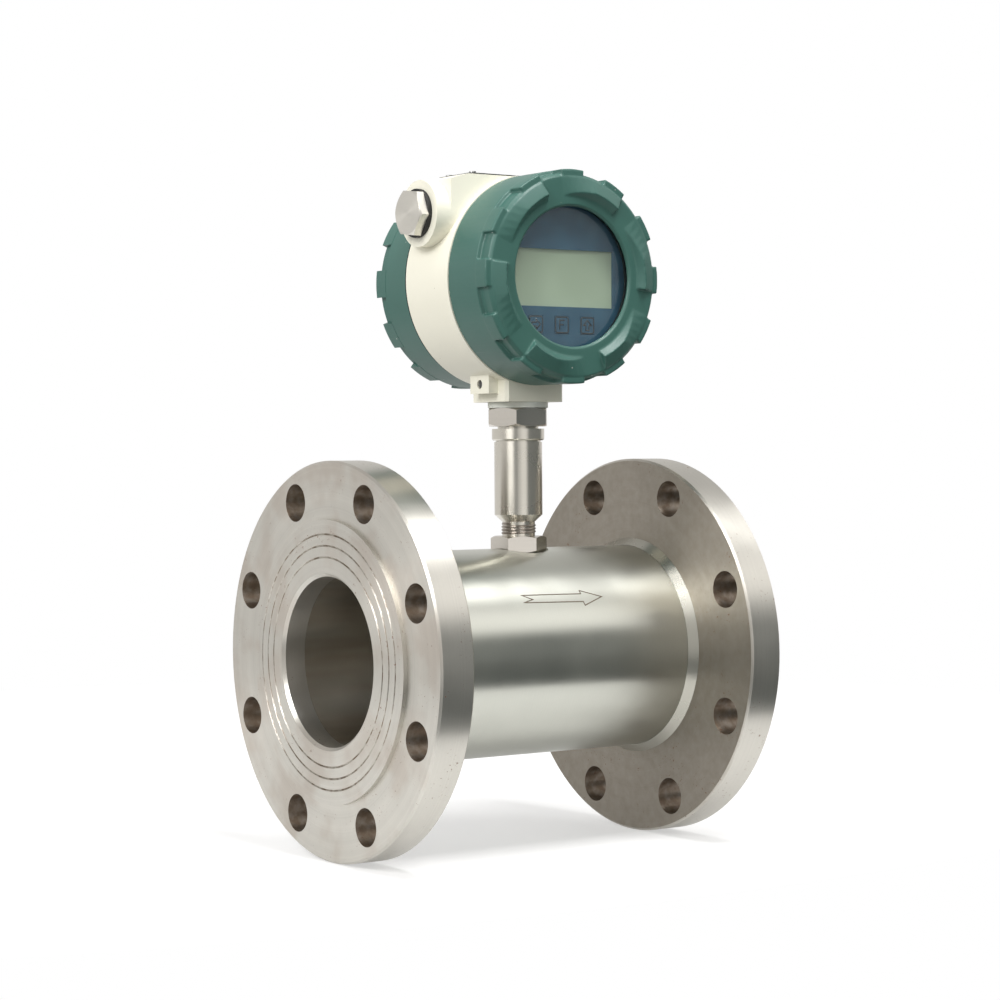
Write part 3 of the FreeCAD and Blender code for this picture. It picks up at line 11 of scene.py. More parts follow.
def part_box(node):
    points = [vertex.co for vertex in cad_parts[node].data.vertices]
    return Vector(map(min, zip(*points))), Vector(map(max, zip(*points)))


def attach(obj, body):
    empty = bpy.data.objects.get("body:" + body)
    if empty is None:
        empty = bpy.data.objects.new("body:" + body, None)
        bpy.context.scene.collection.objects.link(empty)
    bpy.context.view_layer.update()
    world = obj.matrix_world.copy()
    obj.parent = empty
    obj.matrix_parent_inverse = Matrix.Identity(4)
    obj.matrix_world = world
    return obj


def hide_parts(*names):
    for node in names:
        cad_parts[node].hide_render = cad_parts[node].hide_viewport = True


MM = 0.001
STEM_X = 108.5
HEAD_Z = 180.8
TUBE_RADIUS = 50.5
FLOOR_Z = -94.0

# Sockets of a Mix node that mixes colours
MIX_COLOUR_A, MIX_COLOUR_B, MIX_RESULT = 6, 7, 2

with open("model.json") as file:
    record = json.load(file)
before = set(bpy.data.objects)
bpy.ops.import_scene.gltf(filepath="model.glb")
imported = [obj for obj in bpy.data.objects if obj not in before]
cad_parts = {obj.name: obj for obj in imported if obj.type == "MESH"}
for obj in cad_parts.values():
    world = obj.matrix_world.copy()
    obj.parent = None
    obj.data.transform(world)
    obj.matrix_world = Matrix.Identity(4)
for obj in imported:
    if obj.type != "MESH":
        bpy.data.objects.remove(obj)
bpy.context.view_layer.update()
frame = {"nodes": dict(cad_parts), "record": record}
NODES = frame["nodes"]


# ---------------------------------------------------------------- node materials

class Nodes:
    """Short ways to build nodes in a tree."""

    def __init__(self, tree):
        self.tree = tree

    def put(self, socket, value):
        if isinstance(value, bpy.types.NodeSocket):
            self.tree.links.new(value, socket)
        else:
            socket.default_value = value

    def node(self, kind, inputs=(), **settings):
        made = self.tree.nodes.new(kind)
        for name, value in settings.items():
            setattr(made, name, value)
        for name, value in dict(inputs).items():
            self.put(made.inputs[name], value)
        return made

    def math(self, operation, first, second=0.0):
        return self.node("ShaderNodeMath", {0: first, 1: second}, operation=operation).outputs[0]

    def add(self, first, second):
        return self.math("ADD", first, second)

    def times(self, first, second):
        return self.math("MULTIPLY", first, second)

    def scaled(self, vector, amount):
        return self.node("ShaderNodeVectorMath", {0: vector, "Scale": amount},
                         operation="SCALE").outputs[0]

    def span(self, value, low, high, out_low=0.0, out_high=1.0):
        """Runs smoothly from out_low to out_high while value goes from low to high."""
        made = self.node("ShaderNodeMapRange", {"Value": value, "From Min": low, "From Max": high,
                                                "To Min": out_low, "To Max": out_high},
                         interpolation_type="SMOOTHSTEP")
        return made.outputs["Result"]

    def blend(self, share, first, second):
        """Mixes two colours, each one a socket or linear red, green and blue."""
        made = self.node("ShaderNodeMix", data_type="RGBA")
        self.put(made.inputs["Factor"], share)
        for number, colour in ((MIX_COLOUR_A, first), (MIX_COLOUR_B, second)):
            linked = isinstance(colour, bpy.types.NodeSocket)
            self.put(made.inputs[number], colour if linked else (*colour, 1.0))
        return made.outputs[MIX_RESULT]


class Shader(Nodes):
    """A Principled material. Lengths in it are in mm, in the object's own frame."""

    def __init__(self, name):
        self.material = bpy.data.materials.new(name)
        self.material.use_nodes = True
        super().__init__(self.material.node_tree)
        self.main = self.tree.nodes["Principled BSDF"]
        self._place = None

    def set(self, **values):
        for name, value in values.items():
            self.put(self.main.inputs[name.replace("_", " ")], value)

    def place(self):
        """Place in mm as a vector, and its x, y and z."""
        if self._place is None:
            scaled = self.scaled(self.node("ShaderNodeTexCoord").outputs["Object"], 1 / MM)
            split = self.node("ShaderNodeSeparateXYZ", {0: scaled}).outputs
            self._place = (scaled, split[0], split[1], split[2])
        return self._place

    def radius(self, axis, centre=(0.0, 0.0)):
        """Distance in mm from a line along the axis through centre."""
        _, x, y, z = self.place()
        first, second = {"x": (y, z), "y": (x, z), "z": (x, y)}[axis]
        first = self.math("SUBTRACT", first, centre[0])
        second = self.math("SUBTRACT", second, centre[1])
        return self.math("SQRT", self.add(self.times(first, first), self.times(second, second)))

    def noise(self, size, detail=2.0, stretch=(1, 1, 1), rough=0.5):
        """Noise whose lumps are about size mm across, stretched along the axes."""
        place = self.place()[0]
        moved = self.node("ShaderNodeVectorMath", {0: place, 1: [1 / (size * s) for s in stretch]},
                          operation="MULTIPLY").outputs[0]
        made = self.node("ShaderNodeTexNoise", {"Vector": moved, "Scale": 1.0, "Detail": detail,
                                                "Roughness": rough})
        return made.outputs["Fac"]

    def noise_along(self, value, size, detail=2.0):
        """Noise that varies along one value only, such as a radius."""
        made = self.node("ShaderNodeTexNoise", {"W": self.times(value, 1 / size), "Scale": 1.0,
                                                "Detail": detail}, noise_dimensions="1D")
        return made.outputs["Fac"]

    def swing(self, noise, amount):
        """Noise as a value that swings round 0."""
        return self.times(self.math("SUBTRACT", noise, 0.5), amount)

    def bump(self, height, depth):
        """Adds relief: height from 0 to 1, depth in mm."""
        inputs = {"Height": self.times(height, depth * MM), "Strength": 1.0, "Distance": 1.0}
        made = self.node("ShaderNodeBump", inputs)
        self.put(self.main.inputs["Normal"], made.outputs["Normal"])

    def facing(self, axis):
        """How squarely the surface faces along an axis, 0 to 1, either way."""
        normal = self.node("ShaderNodeTexCoord").outputs["Normal"]
        split = self.node("ShaderNodeSeparateXYZ", {0: normal}).outputs["xyz".index(axis)]
        return self.math("ABSOLUTE", split)


def srgb(red, green, blue):
    """Linear colour from an sRGB one of 0 to 255."""
    def linear(value):
        value /= 255
        return value / 12.92 if value <= 0.04045 else ((value + 0.055) / 1.055) ** 2.4
    return (linear(red), linear(green), linear(blue))


BRUSHED = 0.75
RUST = srgb(120, 74, 44)


def steel(name, colour, roughness=0.3, turned="x", centre=(0.0, 0.0), line=0.35, depth=0.004,
          spread=0.05, rust=0.0, stain_and_shade=None):
    """Machined steel: turning marks every line mm round an axis, colour drift, discolouring (on the
    flanges also painted shade) and rust.
    """
    s = Shader(name)
    radius = s.radius(turned, centre)
    along = s.place()[1 + "xyz".index(turned)]
    faced = s.facing(turned)
    marks_face = s.noise_along(radius, line, 3.0)
    marks_side = s.noise_along(along, line, 3.0)
    marks = s.add(s.times(marks_face, faced), s.times(marks_side, s.math("SUBTRACT", 1.0, faced)))
    drift = s.noise(22.0, 3.0)
    fine = s.noise(1.2, 2.0)
    shade = s.add(s.add(s.swing(drift, spread * 2), s.swing(marks, spread * 1.2)), 1.0)
    shade = s.add(shade, s.swing(fine, spread * 0.5))
    if turned == "x":
        bands = s.times(s.noise_along(radius, 5.0, 2.0), faced)
        shade = s.add(shade, s.times(s.math("SUBTRACT", bands, s.times(faced, 0.5)), spread * 1.5))
    tint = s.scaled(colour, shade)
    rough = s.add(s.swing(drift, 0.12), roughness)
    if stain_and_shade:
        # On the flanges this also gives painted shade, grey on the faces between them.
        share, stain_and_shade_colour = stain_and_shade(s, radius, faced)
        tint = s.blend(share, tint, stain_and_shade_colour)
        rough = s.add(rough, s.times(share, 0.2))
    metal = 1.0
    if rust:
        specks = s.noise(1.5, 4.0, rough=0.7)
        patches = s.noise(17.0, 1.0)
        share = s.times(s.span(specks, 0.69 - rust, 0.76 - rust), s.span(patches, 0.5, 0.62))
        tint = s.blend(share, tint, RUST)
        rough = s.add(rough, s.times(share, 0.4))
        metal = s.math("SUBTRACT", 1.0, s.times(share, 0.8))
    s.set(Base_Color=tint, Metallic=metal, Roughness=rough)
    s.main.inputs["Anisotropic"].default_value = BRUSHED
    s.main.inputs["Anisotropic Rotation"].default_value = 0.25
    tangent = s.node("ShaderNodeTangent", direction_type="RADIAL", axis=turned.upper())
    s.put(s.main.inputs["Tangent"], tangent.outputs[0])
    s.bump(marks, depth)
    return s.material


# Places on the flanges, in mm: radii of the bolt holes' ring and of the ring of sealing grooves
# with their soft edges, and x inside the grooves and between the flanges
HOLES_IN, HOLES_OUT = (69.0, 70.5), (90.5, 89.5)
GROOVES_IN, GROOVES_OUT = (46.0, 47.0), (62.5, 61.5)
INLET_GROOVES = ((-1.97, -1.8), (-0.9, -1.2))
OUTLET_GROOVES = ((197.97, 197.8), (196.9, 197.2))
# The faces between the flanges are painted grey as shade.
BETWEEN_FLANGES = ((17.0, 17.9), (179.0, 178.1))


def flange_stain_and_shade(s, radius, faced):
    """Brown film in the bolt holes and sealing grooves, painted shade in grey on the faces between the
    flanges, and a faint warm bloom on every face."""
    x = s.place()[1]

    def within(value, edges):
        low, high = edges
        return s.times(s.span(value, *low), s.span(value, *high))

    patch = s.noise(4.0, 3.0)
    holes = s.times(s.span(faced, 0.55, 0.25), within(radius, (HOLES_IN, HOLES_OUT)))
    holes = s.times(holes, s.span(patch, 0.2, 0.7, 0.6, 0.9))
    # Painted shade: the flange faces between the flanges, facing along x, are darkened towards grey.
    painted_shade_between = s.times(within(x, BETWEEN_FLANGES),
                    s.times(s.span(faced, 0.6, 0.9), s.span(patch, 0.2, 0.8, 0.62, 0.72)))
    sunk = s.add(within(x, INLET_GROOVES), within(x, OUTLET_GROOVES))
    grooves = s.times(sunk, within(radius, (GROOVES_IN, GROOVES_OUT)))
    grooves = s.times(grooves, s.span(patch, 0.35, 0.65, 0.1, 0.8))
    bloom = s.times(s.times(faced, s.span(s.noise(26.0, 3.0), 0.42, 0.66)), 0.32)
    # The grey is painted shade between the flanges; the brown is the holes' and grooves' film.
    film = s.blend(painted_shade_between, srgb(118, 98, 78), srgb(126, 119, 106))
    film = s.blend(grooves, film, srgb(128, 106, 84))
    marked = s.math("MAXIMUM", s.math("MAXIMUM", holes, painted_shade_between), grooves)
    film = s.blend(s.math("GREATER_THAN", marked, 0.02), srgb(176, 158, 144), film)
    return s.math("MAXIMUM", marked, bloom), film


def bore_stain(s, radius, faced):
    """Brown streaks along the tube's bore."""
    wall = s.span(radius, 40.6, 40.1)
    patch = s.noise(16.0, 2.0, stretch=(7, 1, 1))
    return s.times(wall, s.span(patch, 0.25, 0.75, 0.4, 0.75)), srgb(124, 102, 74)


def paint(name, colour, roughness, grain_size, grain_depth, specks,
          speck_colour=(0.8, 0.8, 0.75), spread=0.04):
    """Powder coat: fine orange peel, slight drift of colour and dust specks."""
    s = Shader(name)
    drift = s.noise(18.0, 3.0)
    fine = s.noise(grain_size, 2.0)
    shade = s.add(s.add(s.swing(drift, spread * 2), 1.0), s.swing(fine, spread))
    dots = s.node("ShaderNodeTexVoronoi", {"Vector": s.place()[0], "Scale": 0.16,
                                           "Randomness": 1.0})
    share = s.times(s.span(dots.outputs["Distance"], 0.055, 0.03),
                    s.span(s.noise(9.0, 1.0), 0.6 - specks, 0.66 - specks))
    tint = s.blend(share, s.scaled(colour, shade), speck_colour)
    s.set(Base_Color=tint, Roughness=s.add(s.swing(drift, 0.08), roughness))
    s.bump(fine, grain_depth)
    return s.material


def plain(name, colour, roughness, metal=0.0, spread=0.05, size=3.0, depth=0.004):
    """Small or hidden pieces: a drift of colour and a fine relief."""
    s = Shader(name)
    drift = s.noise(size, 3.0)
    tint = s.scaled(colour, s.add(s.swing(drift, spread * 2), 1.0))
    s.set(Base_Color=tint, Roughness=s.add(s.swing(drift, 0.1), roughness))
    s.main.inputs["Metallic"].default_value = metal
    s.bump(drift, depth)
    return s.material


def glass():
    """Window glass with faint smears, clear to shadow and diffuse rays."""
    s = Shader("window_clear")
    smear = s.noise(12.0, 3.0)
    s.set(Base_Color=(0.93, 0.97, 0.96, 1.0), Roughness=s.span(smear, 0.4, 0.7, 0.0, 0.03))
    s.main.inputs["Transmission Weight"].default_value = 1.0
    s.main.inputs["IOR"].default_value = 1.45
    clear = s.node("ShaderNodeBsdfTransparent", {"Color": (0.93, 0.96, 0.95, 1.0)})
    light = s.node("ShaderNodeLightPath")
    share = s.math("MAXIMUM", light.outputs["Is Shadow Ray"], light.outputs["Is Diffuse Ray"])
    mixed = s.node("ShaderNodeMixShader", {0: share, 1: s.main.outputs[0], 2: clear.outputs[0]})
    output = s.tree.nodes["Material Output"]
    s.put(output.inputs["Surface"], mixed.outputs[0])
    return s.material


def face_film(name):
    """Printed film of the face plate: blue with a faint mottle."""
    s = Shader(name)
    drift = s.noise(8.0, 3.0)
    tint = s.blend(s.span(drift, 0.3, 0.7), srgb(50, 82, 104), srgb(58, 92, 114))
    s.set(Base_Color=tint, Roughness=0.38)
    s.main.inputs["Specular IOR Level"].default_value = 0.1
    s.bump(s.noise(0.4, 1.0), 0.002)
    return s.material


def screen():
    """Liquid crystal: grey-green with a slow drift."""
    s = Shader("screen_grey")
    drift = s.noise(30.0, 1.0)
    tint = s.blend(s.span(drift, 0.3, 0.7), srgb(163, 174, 152), srgb(173, 184, 162))
    s.set(Base_Color=tint, Roughness=0.25)
    s.main.inputs["Specular IOR Level"].default_value = 0.2
    s.bump(s.noise(0.3, 1.0), 0.001)
    return s.material


STEM_AXIS = (STEM_X, 0.0)
PLUG_AXIS = (3.6, HEAD_Z + 31.2)
LOOKS = {
    # The flange steel has painted shade in grey on the faces between the flanges.
    "flange_steel": steel("flange_steel", srgb(208, 205, 197), 0.36, line=0.8, rust=0.065,
                          stain_and_shade=flange_stain_and_shade, spread=0.08),
    "tube_steel": steel("tube_steel", srgb(206, 207, 198), 0.3, line=0.4, spread=0.07,
                        stain_and_shade=bore_stain),
    "weld_steel": steel("weld_steel", srgb(190, 188, 178), 0.28, line=0.4, depth=0.003),
    "sleeve_steel": steel("sleeve_steel", srgb(218, 214, 204), 0.28, turned="z",
                          centre=STEM_AXIS, line=0.4, depth=0.002),
    "nut_steel": steel("nut_steel", srgb(216, 211, 203), 0.2, turned="z", centre=STEM_AXIS,
                       line=0.6, depth=0.003, spread=0.08),
    "guide_steel": steel("guide_steel", srgb(190, 186, 180), 0.38, line=0.6),
    "rotor_steel": steel("rotor_steel", srgb(180, 180, 180), 0.3, line=0.5),
    "clip_steel": plain("clip_steel", srgb(120, 120, 122), 0.35, 1.0),
    "hard_metal": plain("hard_metal", srgb(150, 150, 156), 0.25, 1.0),
    "washer_alloy": plain("washer_alloy", srgb(214, 216, 208), 0.5, 0.1, size=0.8),
    "magnet_metal": plain("magnet_metal", srgb(160, 160, 162), 0.3, 1.0),
    "bobbin_plastic": plain("bobbin_plastic", srgb(40, 40, 42), 0.5),
    "copper_wire": plain("copper_wire", srgb(196, 112, 60), 0.35, 1.0, size=0.5),
    "housing_paint": paint("housing_paint", srgb(236, 233, 217), 0.3, 1.6, 0.008, specks=0.02,
                           speck_colour=srgb(150, 140, 120), spread=0.015),
    "cover_paint": paint("cover_paint", srgb(58, 99, 90), 0.42, 0.7, 0.012, specks=0.06),
    "window_clear": glass(),
    "black_rubber": plain("black_rubber", srgb(22, 22, 23), 0.55),
    "retainer_metal": plain("retainer_metal", srgb(60, 62, 64), 0.45, 0.6),
    "carrier_plastic": plain("carrier_plastic", srgb(24, 26, 28), 0.5),
    "face_film": face_film("face_film"),
    "key_film": face_film("key_film"),
    "screen_grey": screen(),
    "switch_plastic": plain("switch_plastic", srgb(30, 30, 30), 0.5),
    "board_laminate": plain("board_laminate", srgb(24, 84, 48), 0.35, size=6.0),
    "pillar_brass": plain("pillar_brass", srgb(196, 164, 96), 0.3, 1.0),
    "terminal_plastic": plain("terminal_plastic", srgb(34, 92, 60), 0.4),
    "terminal_metal": plain("terminal_metal", srgb(190, 188, 182), 0.3, 1.0),
    "lead_jacket": plain("lead_jacket", srgb(50, 50, 52), 0.5),
    "plug_steel": steel("plug_steel", srgb(222, 219, 211), 0.3, centre=PLUG_AXIS, line=0.5,
                        depth=0.003),
    "earth_steel": plain("earth_steel", srgb(130, 130, 130), 0.35, 1.0),
    "plate_black": plain("plate_black", srgb(26, 26, 27), 0.35, 0.3),
    "rivet_alloy": plain("rivet_alloy", srgb(190, 190, 190), 0.35, 1.0),
}
for row in frame["record"]["subparts"]:
    for place in NODES[row["node"]].material_slots:
        place.material = LOOKS[row["material_slot"]]


# ---------------------------------------------------------------- rounded edges on CAD pieces

SHARP_ANGLE = 32


def round_edges(name, width, segments=3):
    """Breaks the sharp edges of a CAD piece, as casting and machining do."""
    bevel = NODES[name].modifiers.new("edge_round", "BEVEL")
    bevel.width = width * MM
    bevel.segments = segments
    bevel.limit_method = "ANGLE"
    bevel.angle_limit = math.radians(SHARP_ANGLE)


# ---------------------------------------------------------------- pieces drawn on and round the CAD

def linked_object(name, data):
    made = bpy.data.objects.new(name, data)
    bpy.context.scene.collection.objects.link(made)
    return made


def built_mesh(name, build):
    """A mesh of what build adds to a bmesh."""
    made = bmesh.new()
    build(made)
    mesh = bpy.data.meshes.new(name)
    made.to_mesh(mesh)
    made.free()
    return mesh


def mesh_piece(name, build, material, body):
    """Makes a smooth piece from what build adds to a bmesh, and rides it on a body."""
    mesh = built_mesh(name, build)
    for face in mesh.polygons:
        face.use_smooth = True
    mesh.materials.append(material)
    piece = linked_object(name, mesh)
    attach(piece, body)


SHARPEST_MITRE = 0.35


def ribbon(points, closed, width, lift, to_surface):
    """Fills a bmesh with a thin band along points in a flat map, laid on a surface."""
    def build(made):
        count = len(points)
        pairs = []
        for index, point in enumerate(points):
            before = points[index - 1] if closed or index else None
            after = points[(index + 1) % count] if closed or index + 1 < count else None
            here = Vector(point)
            heads = []
            if before is not None:
                heads.append((here - Vector(before)).normalized())
            if after is not None:
                heads.append((Vector(after) - here).normalized())
            normals = [Vector((-h.y, h.x)) for h in heads]
            mean = sum(normals, Vector((0, 0))).normalized()
            reach = width / 2 / max(SHARPEST_MITRE, mean.dot(normals[0]))
            sides = []
            for sign in (-1, 1):
                flat = here + mean * reach * sign
                sides.append([made.verts.new(to_surface(flat.x, flat.y, rise))
                              for rise in (-lift, lift)])
            pairs.append(sides)
        steps = count if closed else count - 1
        for index in range(steps):
            (a0, a1), (b0, b1) = pairs[index]
            (c0, c1), (d0, d1) = pairs[(index + 1) % count]
            made.faces.new((a1, b1, d1, c1))
            made.faces.new((a0, c0, d0, b0))
            made.faces.new((a0, a1, c1, c0))
            made.faces.new((b1, b0, d0, d1))
        if not closed:
            for (a0, a1), (b0, b1) in (pairs[0], pairs[-1]):
                made.faces.new((a0, b0, b1, a1))
        bmesh.ops.recalc_face_normals(made, faces=made.faces)
    return build


def finer(points, closed, step):
    """The same line with points no further apart than step."""
    dense = []
    count = len(points)
    for index in range(count if closed else count - 1):
        a, b = Vector(points[index]), Vector(points[(index + 1) % count])
        parts = max(1, math.ceil((b - a).length / step))
        dense += [tuple(a.lerp(b, part / parts)) for part in range(parts)]
    if not closed:
        dense.append(tuple(points[-1]))
    return dense


mark_ink = plain("laser_mark", srgb(104, 92, 76), 0.6, spread=0.2, size=0.6)
icon_ink = plain("icon_ink", srgb(10, 14, 18), 0.45, spread=0.1, size=0.5)

# Flow arrow, marked on the tube: x in mm and degrees above the tube's front
ARROW_LINE, ARROW_LIFT, ARROW_STEP = 0.52, 0.04, 1.5
ARROW = [(81.0, 36.3), (115.6, 35.7), (115.5, 37.8), (127.2, 33.3), (115.8, 28.5), (115.4, 30.8),
         (80.9, 31.7), (86.5, 33.4)]


def on_tube(x, arc, rise):
    turn = arc / TUBE_RADIUS
    reach = TUBE_RADIUS + rise
    return (x * MM, -math.cos(turn) * reach * MM, math.sin(turn) * reach * MM)


arrow_flat = [(x, math.radians(degrees) * TUBE_RADIUS) for x, degrees in ARROW]
arrow_line = finer(arrow_flat, True, ARROW_STEP)
mesh_piece("flow_arrow", ribbon(arrow_line, True, ARROW_LINE, ARROW_LIFT, on_tube),
           mark_ink, "pipe")


# ---------------------------------------------------------------- keys' signs

def rounded_square(side, corner, per_corner=5):
    half = side / 2 - corner
    points = []
    for quarter, (sx, sy) in enumerate(((1, 1), (-1, 1), (-1, -1), (1, -1))):
        for step in range(per_corner + 1):
            turn = math.radians(90 * (quarter + step / per_corner))
            points.append((sx * half + corner * math.cos(turn), sy * half + corner * math.sin(turn)))
    return points


RIGHT_ARROW = [(-2.4, 0.9), (0.1, 0.9), (0.1, 2.3), (2.5, 0), (0.1, -2.3), (0.1, -0.9), (-2.4, -0.9)]
UP_ARROW = [(-y, x) for x, y in RIGHT_ARROW]
F_STEM_AND_TOP = [(-1.3, -2.2), (-1.3, 2.2), (1.6, 2.2)]
F_BAR = [(-1.3, 0.1), (1.2, 0.1)]
FRAME = (rounded_square(7.4, 0.9), True)
# Node, body, and the lines of the sign with whether each is closed
KEY_SIGNS = (
    ("key_left", "left_key", [FRAME, (RIGHT_ARROW, True)]),
    ("key_middle", "middle_key", [FRAME, (F_STEM_AND_TOP, False), (F_BAR, False)]),
    ("key_right", "right_key", [FRAME, (UP_ARROW, True)]),
)
SIGN_LINE, SIGN_LIFT = 0.62, 0.03
for name, body, lines in KEY_SIGNS:
    low, high = (Vector(corner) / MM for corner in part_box(name))
    centre_x, centre_z, front = (low.x + high.x) / 2, (low.z + high.z) / 2, low.y

    def on_key(x, up, rise, centre_x=centre_x, centre_z=centre_z, front=front):
        return ((centre_x + x) * MM, (front - rise) * MM, (centre_z + up) * MM)

    for number, (points, closed) in enumerate(lines):
        mesh_piece("%s_sign_%d" % (name, number),
                   ribbon(points, closed, SIGN_LINE, SIGN_LIFT, on_key), icon_ink, body)


# ---------------------------------------------------------------- threads

def join_rings(made, rings):
    """Closes a row of equal rings of points into a solid."""
    for first, second in zip(rings, rings[1:]):
        for index in range(len(first)):
            following = (index + 1) % len(first)
            made.faces.new((first[index], first[following], second[following], second[index]))
    made.faces.new(rings[0])
    made.faces.new(rings[-1])
    bmesh.ops.recalc_face_normals(made, faces=made.faces)


THREAD_LOW, THREAD_HIGH, THREAD_PITCH = 56.6, 63.5, 1.5
THREAD_ROOT, THREAD_CREST, THREAD_SUNK = 8.0, 8.5, 0.25
TURN_STEPS = 48


def thread_ridge(made):
    """Adds a screw thread round the stem: a ridge that fades in and out over a third of a turn."""
    count = int(((THREAD_HIGH - THREAD_LOW) / THREAD_PITCH - 1) * TURN_STEPS)
    # Radius, and place along the stem in pitches
    profile = [(THREAD_ROOT - THREAD_SUNK, -0.5), (THREAD_ROOT, -0.42), (THREAD_CREST, -0.08),
               (THREAD_CREST, 0.08), (THREAD_ROOT, 0.42), (THREAD_ROOT - THREAD_SUNK, 0.5)]
    rings = []
    for index in range(count + 1):
        turn = 2 * math.pi * index / TURN_STEPS
        level = THREAD_LOW + THREAD_PITCH / 2 + THREAD_PITCH * index / TURN_STEPS
        fade = min(1, index / (TURN_STEPS / 3), (count - index) / (TURN_STEPS / 3))
        ring = []
        for reach, offset in profile:
            if reach > THREAD_ROOT:
                reach = THREAD_ROOT + (reach - THREAD_ROOT) * fade
            ring.append(made.verts.new(((STEM_X + reach * math.cos(turn)) * MM,
                                        reach * math.sin(turn) * MM,
                                        (level + offset * THREAD_PITCH) * MM)))
        rings.append(ring)
    join_rings(made, rings)


thread_steel = steel("thread_steel", srgb(150, 142, 134), 0.3, turned="z", centre=STEM_AXIS)
mesh_piece("stem_thread", thread_ridge, thread_steel, "pipe")


# ---------------------------------------------------------------- front cover, as cast

# The cover's face along Y and the pads' radii. A pad's ramp starts a little outside its foot, all
# but level with the face, and its crest and outer edge rise to their full heights.
COVER_FACE = -46.4
PAD_OUTER, PAD_CREST, PAD_FOOT, RAMP_START = 47.4, 41.1, 38.0, 38.8
CREST_HEIGHTS, OUTER_HEIGHTS, FOOT_HEIGHT = (0.1, 3.2), (0.05, 0.55), 0.02
PAD_SUNK = 1
PAD_COUNT, FIRST_PAD = 6, -8
PART_ANGLE, PAD_PARTS, RAMP_PARTS = 5, 9, 5
DISC_STEPS, DISC_PAST, DISC_SUNK, DISC_HIGH = 96, 0.1, 0.02, 9
CAST_VOXEL, KEPT_SHARE = 0.45, 0.25


def on_cover(reach, degrees, level):
    """Point on the front cover: distance from the head's axis, angle from the top, place along Y."""
    turn = math.radians(degrees)
    return ((STEM_X + reach * math.sin(turn)) * MM, level * MM, (HEAD_Z + reach * math.cos(turn)) * MM)


def between(ends, share):
    return ends[0] + (ends[1] - ends[0]) * share


def cast_pads(made):
    """Adds the cast pads: each a ramp that rises from the face, runs level and ends in a wall."""
    for number in range(PAD_COUNT):
        rows = []
        for part in range(PAD_PARTS + 1):
            rise = min(1.0, part / RAMP_PARTS)
            profile = [(PAD_OUTER, COVER_FACE + PAD_SUNK),
                       (PAD_OUTER, COVER_FACE - between(OUTER_HEIGHTS, rise)),
                       (between((RAMP_START, PAD_CREST), rise),
                        COVER_FACE - between(CREST_HEIGHTS, rise)),
                       (PAD_FOOT, COVER_FACE - FOOT_HEIGHT),
                       (PAD_FOOT, COVER_FACE + PAD_SUNK)]
            angle = FIRST_PAD + 360 / PAD_COUNT * number + PART_ANGLE * part
            rows.append([made.verts.new(on_cover(reach, angle, level)) for reach, level in profile])
        join_rings(made, rows)


def face_disc(made):
    """Adds a disc that takes the solid's own pads off, down to the face."""
    rings = [[made.verts.new(on_cover(PAD_OUTER + DISC_PAST, 360 / DISC_STEPS * step, level))
              for step in range(DISC_STEPS)]
             for level in (COVER_FACE + DISC_SUNK, COVER_FACE - DISC_HIGH)]
    join_rings(made, rings)


def cast_cover():
    """The cover's solid with its pads as the casting has them and its edges and corners rounded."""
    solid = NODES["front_cover"]
    mesh = bpy.data.meshes.new_from_object(solid)
    mesh.transform(solid.matrix_world)
    piece = linked_object("front_cover_cast", mesh)
    tools = []
    for name, build, operation in (("face_cut", face_disc, "DIFFERENCE"), ("pads", cast_pads, "UNION")):
        tool = linked_object(name, built_mesh(name, build))
        step = piece.modifiers.new(name, "BOOLEAN")
        step.object, step.operation, step.solver = tool, operation, "EXACT"
        tools.append(tool)
    soft = piece.modifiers.new("casting", "REMESH")
    soft.mode, soft.voxel_size, soft.use_smooth_shade = "VOXEL", CAST_VOXEL * MM, True
    evened = piece.modifiers.new("evened", "SMOOTH")
    evened.factor, evened.iterations = 0.5, 3
    thinned = piece.modifiers.new("thinned", "DECIMATE")
    thinned.ratio = KEPT_SHARE
    bpy.context.view_layer.update()
    shown = piece.evaluated_get(bpy.context.evaluated_depsgraph_get())
    cast = bpy.data.meshes.new_from_object(shown)
    piece.modifiers.clear()
    piece.data = cast
    for tool in tools:
        bpy.data.objects.remove(tool)
    cast.materials.clear()
    cast.materials.append(LOOKS["cover_paint"])
    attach(piece, "front_lid")
    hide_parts("front_cover")


cast_cover()
round_edges("rear_cover", 0.5)
round_edges("head_housing", 0.6)
for name in ("lock_nut", "top_nut", "blanking_plug"):
    round_edges(name, 0.25, segments=2)


# ---------------------------------------------------------------- floor, light and camera

def light_floor():
    """Pale floor: plain white to the camera, part of it to metal, with the object's shadow on it."""
    s = Shader("floor_paper")
    s.set(Base_Color=(0.58, 0.58, 0.58, 1.0), Roughness=0.9)
    s.main.inputs["Specular IOR Level"].default_value = 0.1
    path = s.node("ShaderNodeLightPath").outputs
    seen = s.math("MAXIMUM", path["Is Camera Ray"], path["Is Transmission Ray"])
    mirrored = s.times(path["Is Glossy Ray"], MIRRORED_SHARE)
    s.set(Emission_Strength=s.times(s.math("MAXIMUM", seen, mirrored), FLOOR_GLOW))
    s.main.inputs["Emission Color"].default_value = (1.0, 1.0, 1.0, 1.0)
    return s.material


MIRRORED_SHARE, FLOOR_GLOW = 0.6, 0.46
FLOOR_SIZE, FLOOR_BACK, FLOOR_DROP = (0.75, 0.55, 1.0), 0.38, 0.0002
bpy.ops.mesh.primitive_circle_add(vertices=96, radius=1.0, fill_type="NGON")
floor = bpy.context.object
floor.name = "floor"
floor.data.materials.append(light_floor())
floor.scale = FLOOR_SIZE
floor.location = (STEM_X * MM, FLOOR_BACK, FLOOR_Z * MM - FLOOR_DROP)

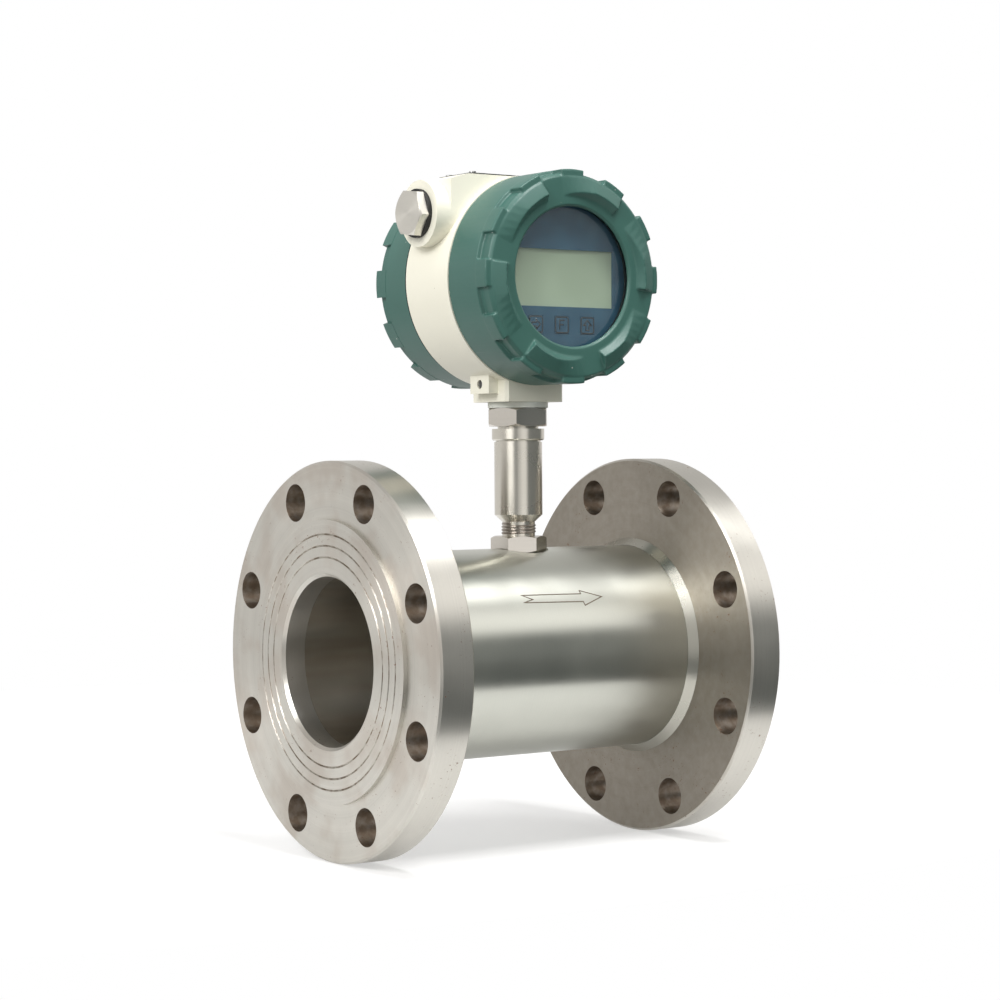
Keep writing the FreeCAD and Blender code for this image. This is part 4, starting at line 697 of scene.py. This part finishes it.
# Panels of the studio: bearings from and to in degrees, heights from and to as sines, the level
# added, and the softness of the sides in degrees. Two are dark.
PANELS = (
    (-80, -2, -0.57, 0.32, -0.72, 6.0),
    (-147, -127, -0.5, 0.45, -0.45, 4.0),
    (-112, -86, -0.3, 0.5, 0.35, 5.0),
    (-80, 10, 0.38, 0.66, 0.75, 8.0),
)
PANEL_SOFT_HEIGHT = 0.06
DIMMEST, STUDIO_STRENGTH = 0.13, 0.85


def studio():
    """White to the camera. For light and reflections: bright walls, a dimmer ceiling and floor, and
    the panels."""
    world = bpy.data.worlds.new("studio")
    bpy.context.scene.world = world
    world.use_nodes = True
    s = Nodes(world.node_tree)
    s.tree.nodes.clear()
    generated = s.node("ShaderNodeTexCoord").outputs["Generated"]
    x, y, z = s.node("ShaderNodeSeparateXYZ", {0: generated}).outputs
    bearing = s.times(s.math("ARCTAN2", y, x), 180 / math.pi)
    level = s.times(s.span(z, 0.45, 0.8, 0.92, 0.66), s.span(z, 0.0, -0.4, 1.0, 0.35))
    for left, right, low, high, amount, soft in PANELS:
        across = s.times(s.span(bearing, left - soft, left + soft),
                         s.span(bearing, right + soft, right - soft))
        up = s.times(s.span(z, low - PANEL_SOFT_HEIGHT, low + PANEL_SOFT_HEIGHT),
                     s.span(z, high + PANEL_SOFT_HEIGHT, high - PANEL_SOFT_HEIGHT))
        level = s.add(level, s.times(s.times(across, up), amount))
    level = s.math("MAXIMUM", level, DIMMEST)
    tint = s.blend(s.span(level, 0.1, 0.7), (0.92, 1.0, 0.98), (1.0, 0.985, 0.965))
    lit = s.node("ShaderNodeBackground", {"Color": s.scaled(tint, level), "Strength": STUDIO_STRENGTH})
    white = s.node("ShaderNodeBackground", {"Color": (1, 1, 1, 1), "Strength": 1.0})
    path = s.node("ShaderNodeLightPath").outputs
    seen = s.math("MAXIMUM", path["Is Camera Ray"], path["Is Transmission Ray"])
    mixed = s.node("ShaderNodeMixShader", {0: seen, 1: lit.outputs[0], 2: white.outputs[0]})
    s.node("ShaderNodeOutputWorld", {"Surface": mixed.outputs[0]})


studio()


def soft_light(name, place, target, size, watts):
    light = bpy.data.lights.new(name, "AREA")
    light.shape = "RECTANGLE"
    light.size, light.size_y = size
    light.energy = watts
    lamp = linked_object(name, light)
    lamp.location = place
    lamp.rotation_euler = (Vector(target) - Vector(place)).to_track_quat("-Z", "Y").to_euler()


soft_light("side_light", (-1.15, -0.35, 0.85), (0.1, 0, 0.12), (0.7, 0.7), 13.0)
soft_light("top_light", (0.15, -0.5, 1.25), (0.1, 0, 0.1), (0.5, 0.5), 13.0)

camera_data = bpy.data.cameras.new("camera")
camera_data.sensor_width = 36.0
camera_data.lens = 90.92
camera = linked_object("camera", camera_data)
CAMERA_PLACE = (-0.60951, -1.01021, 0.09484)
RIGHT = Vector((0.819235, -0.573427, -0.005999))
UP = Vector((0.014490, 0.010241, 0.999843))
BACK = Vector((-0.573275, -0.819193, 0.016699))
turn = Matrix((RIGHT, UP, BACK)).transposed().to_4x4()
camera.matrix_world = Matrix.Translation(CAMERA_PLACE) @ turn
bpy.context.scene.camera = camera
bpy.context.scene.view_settings.view_transform = "Standard"
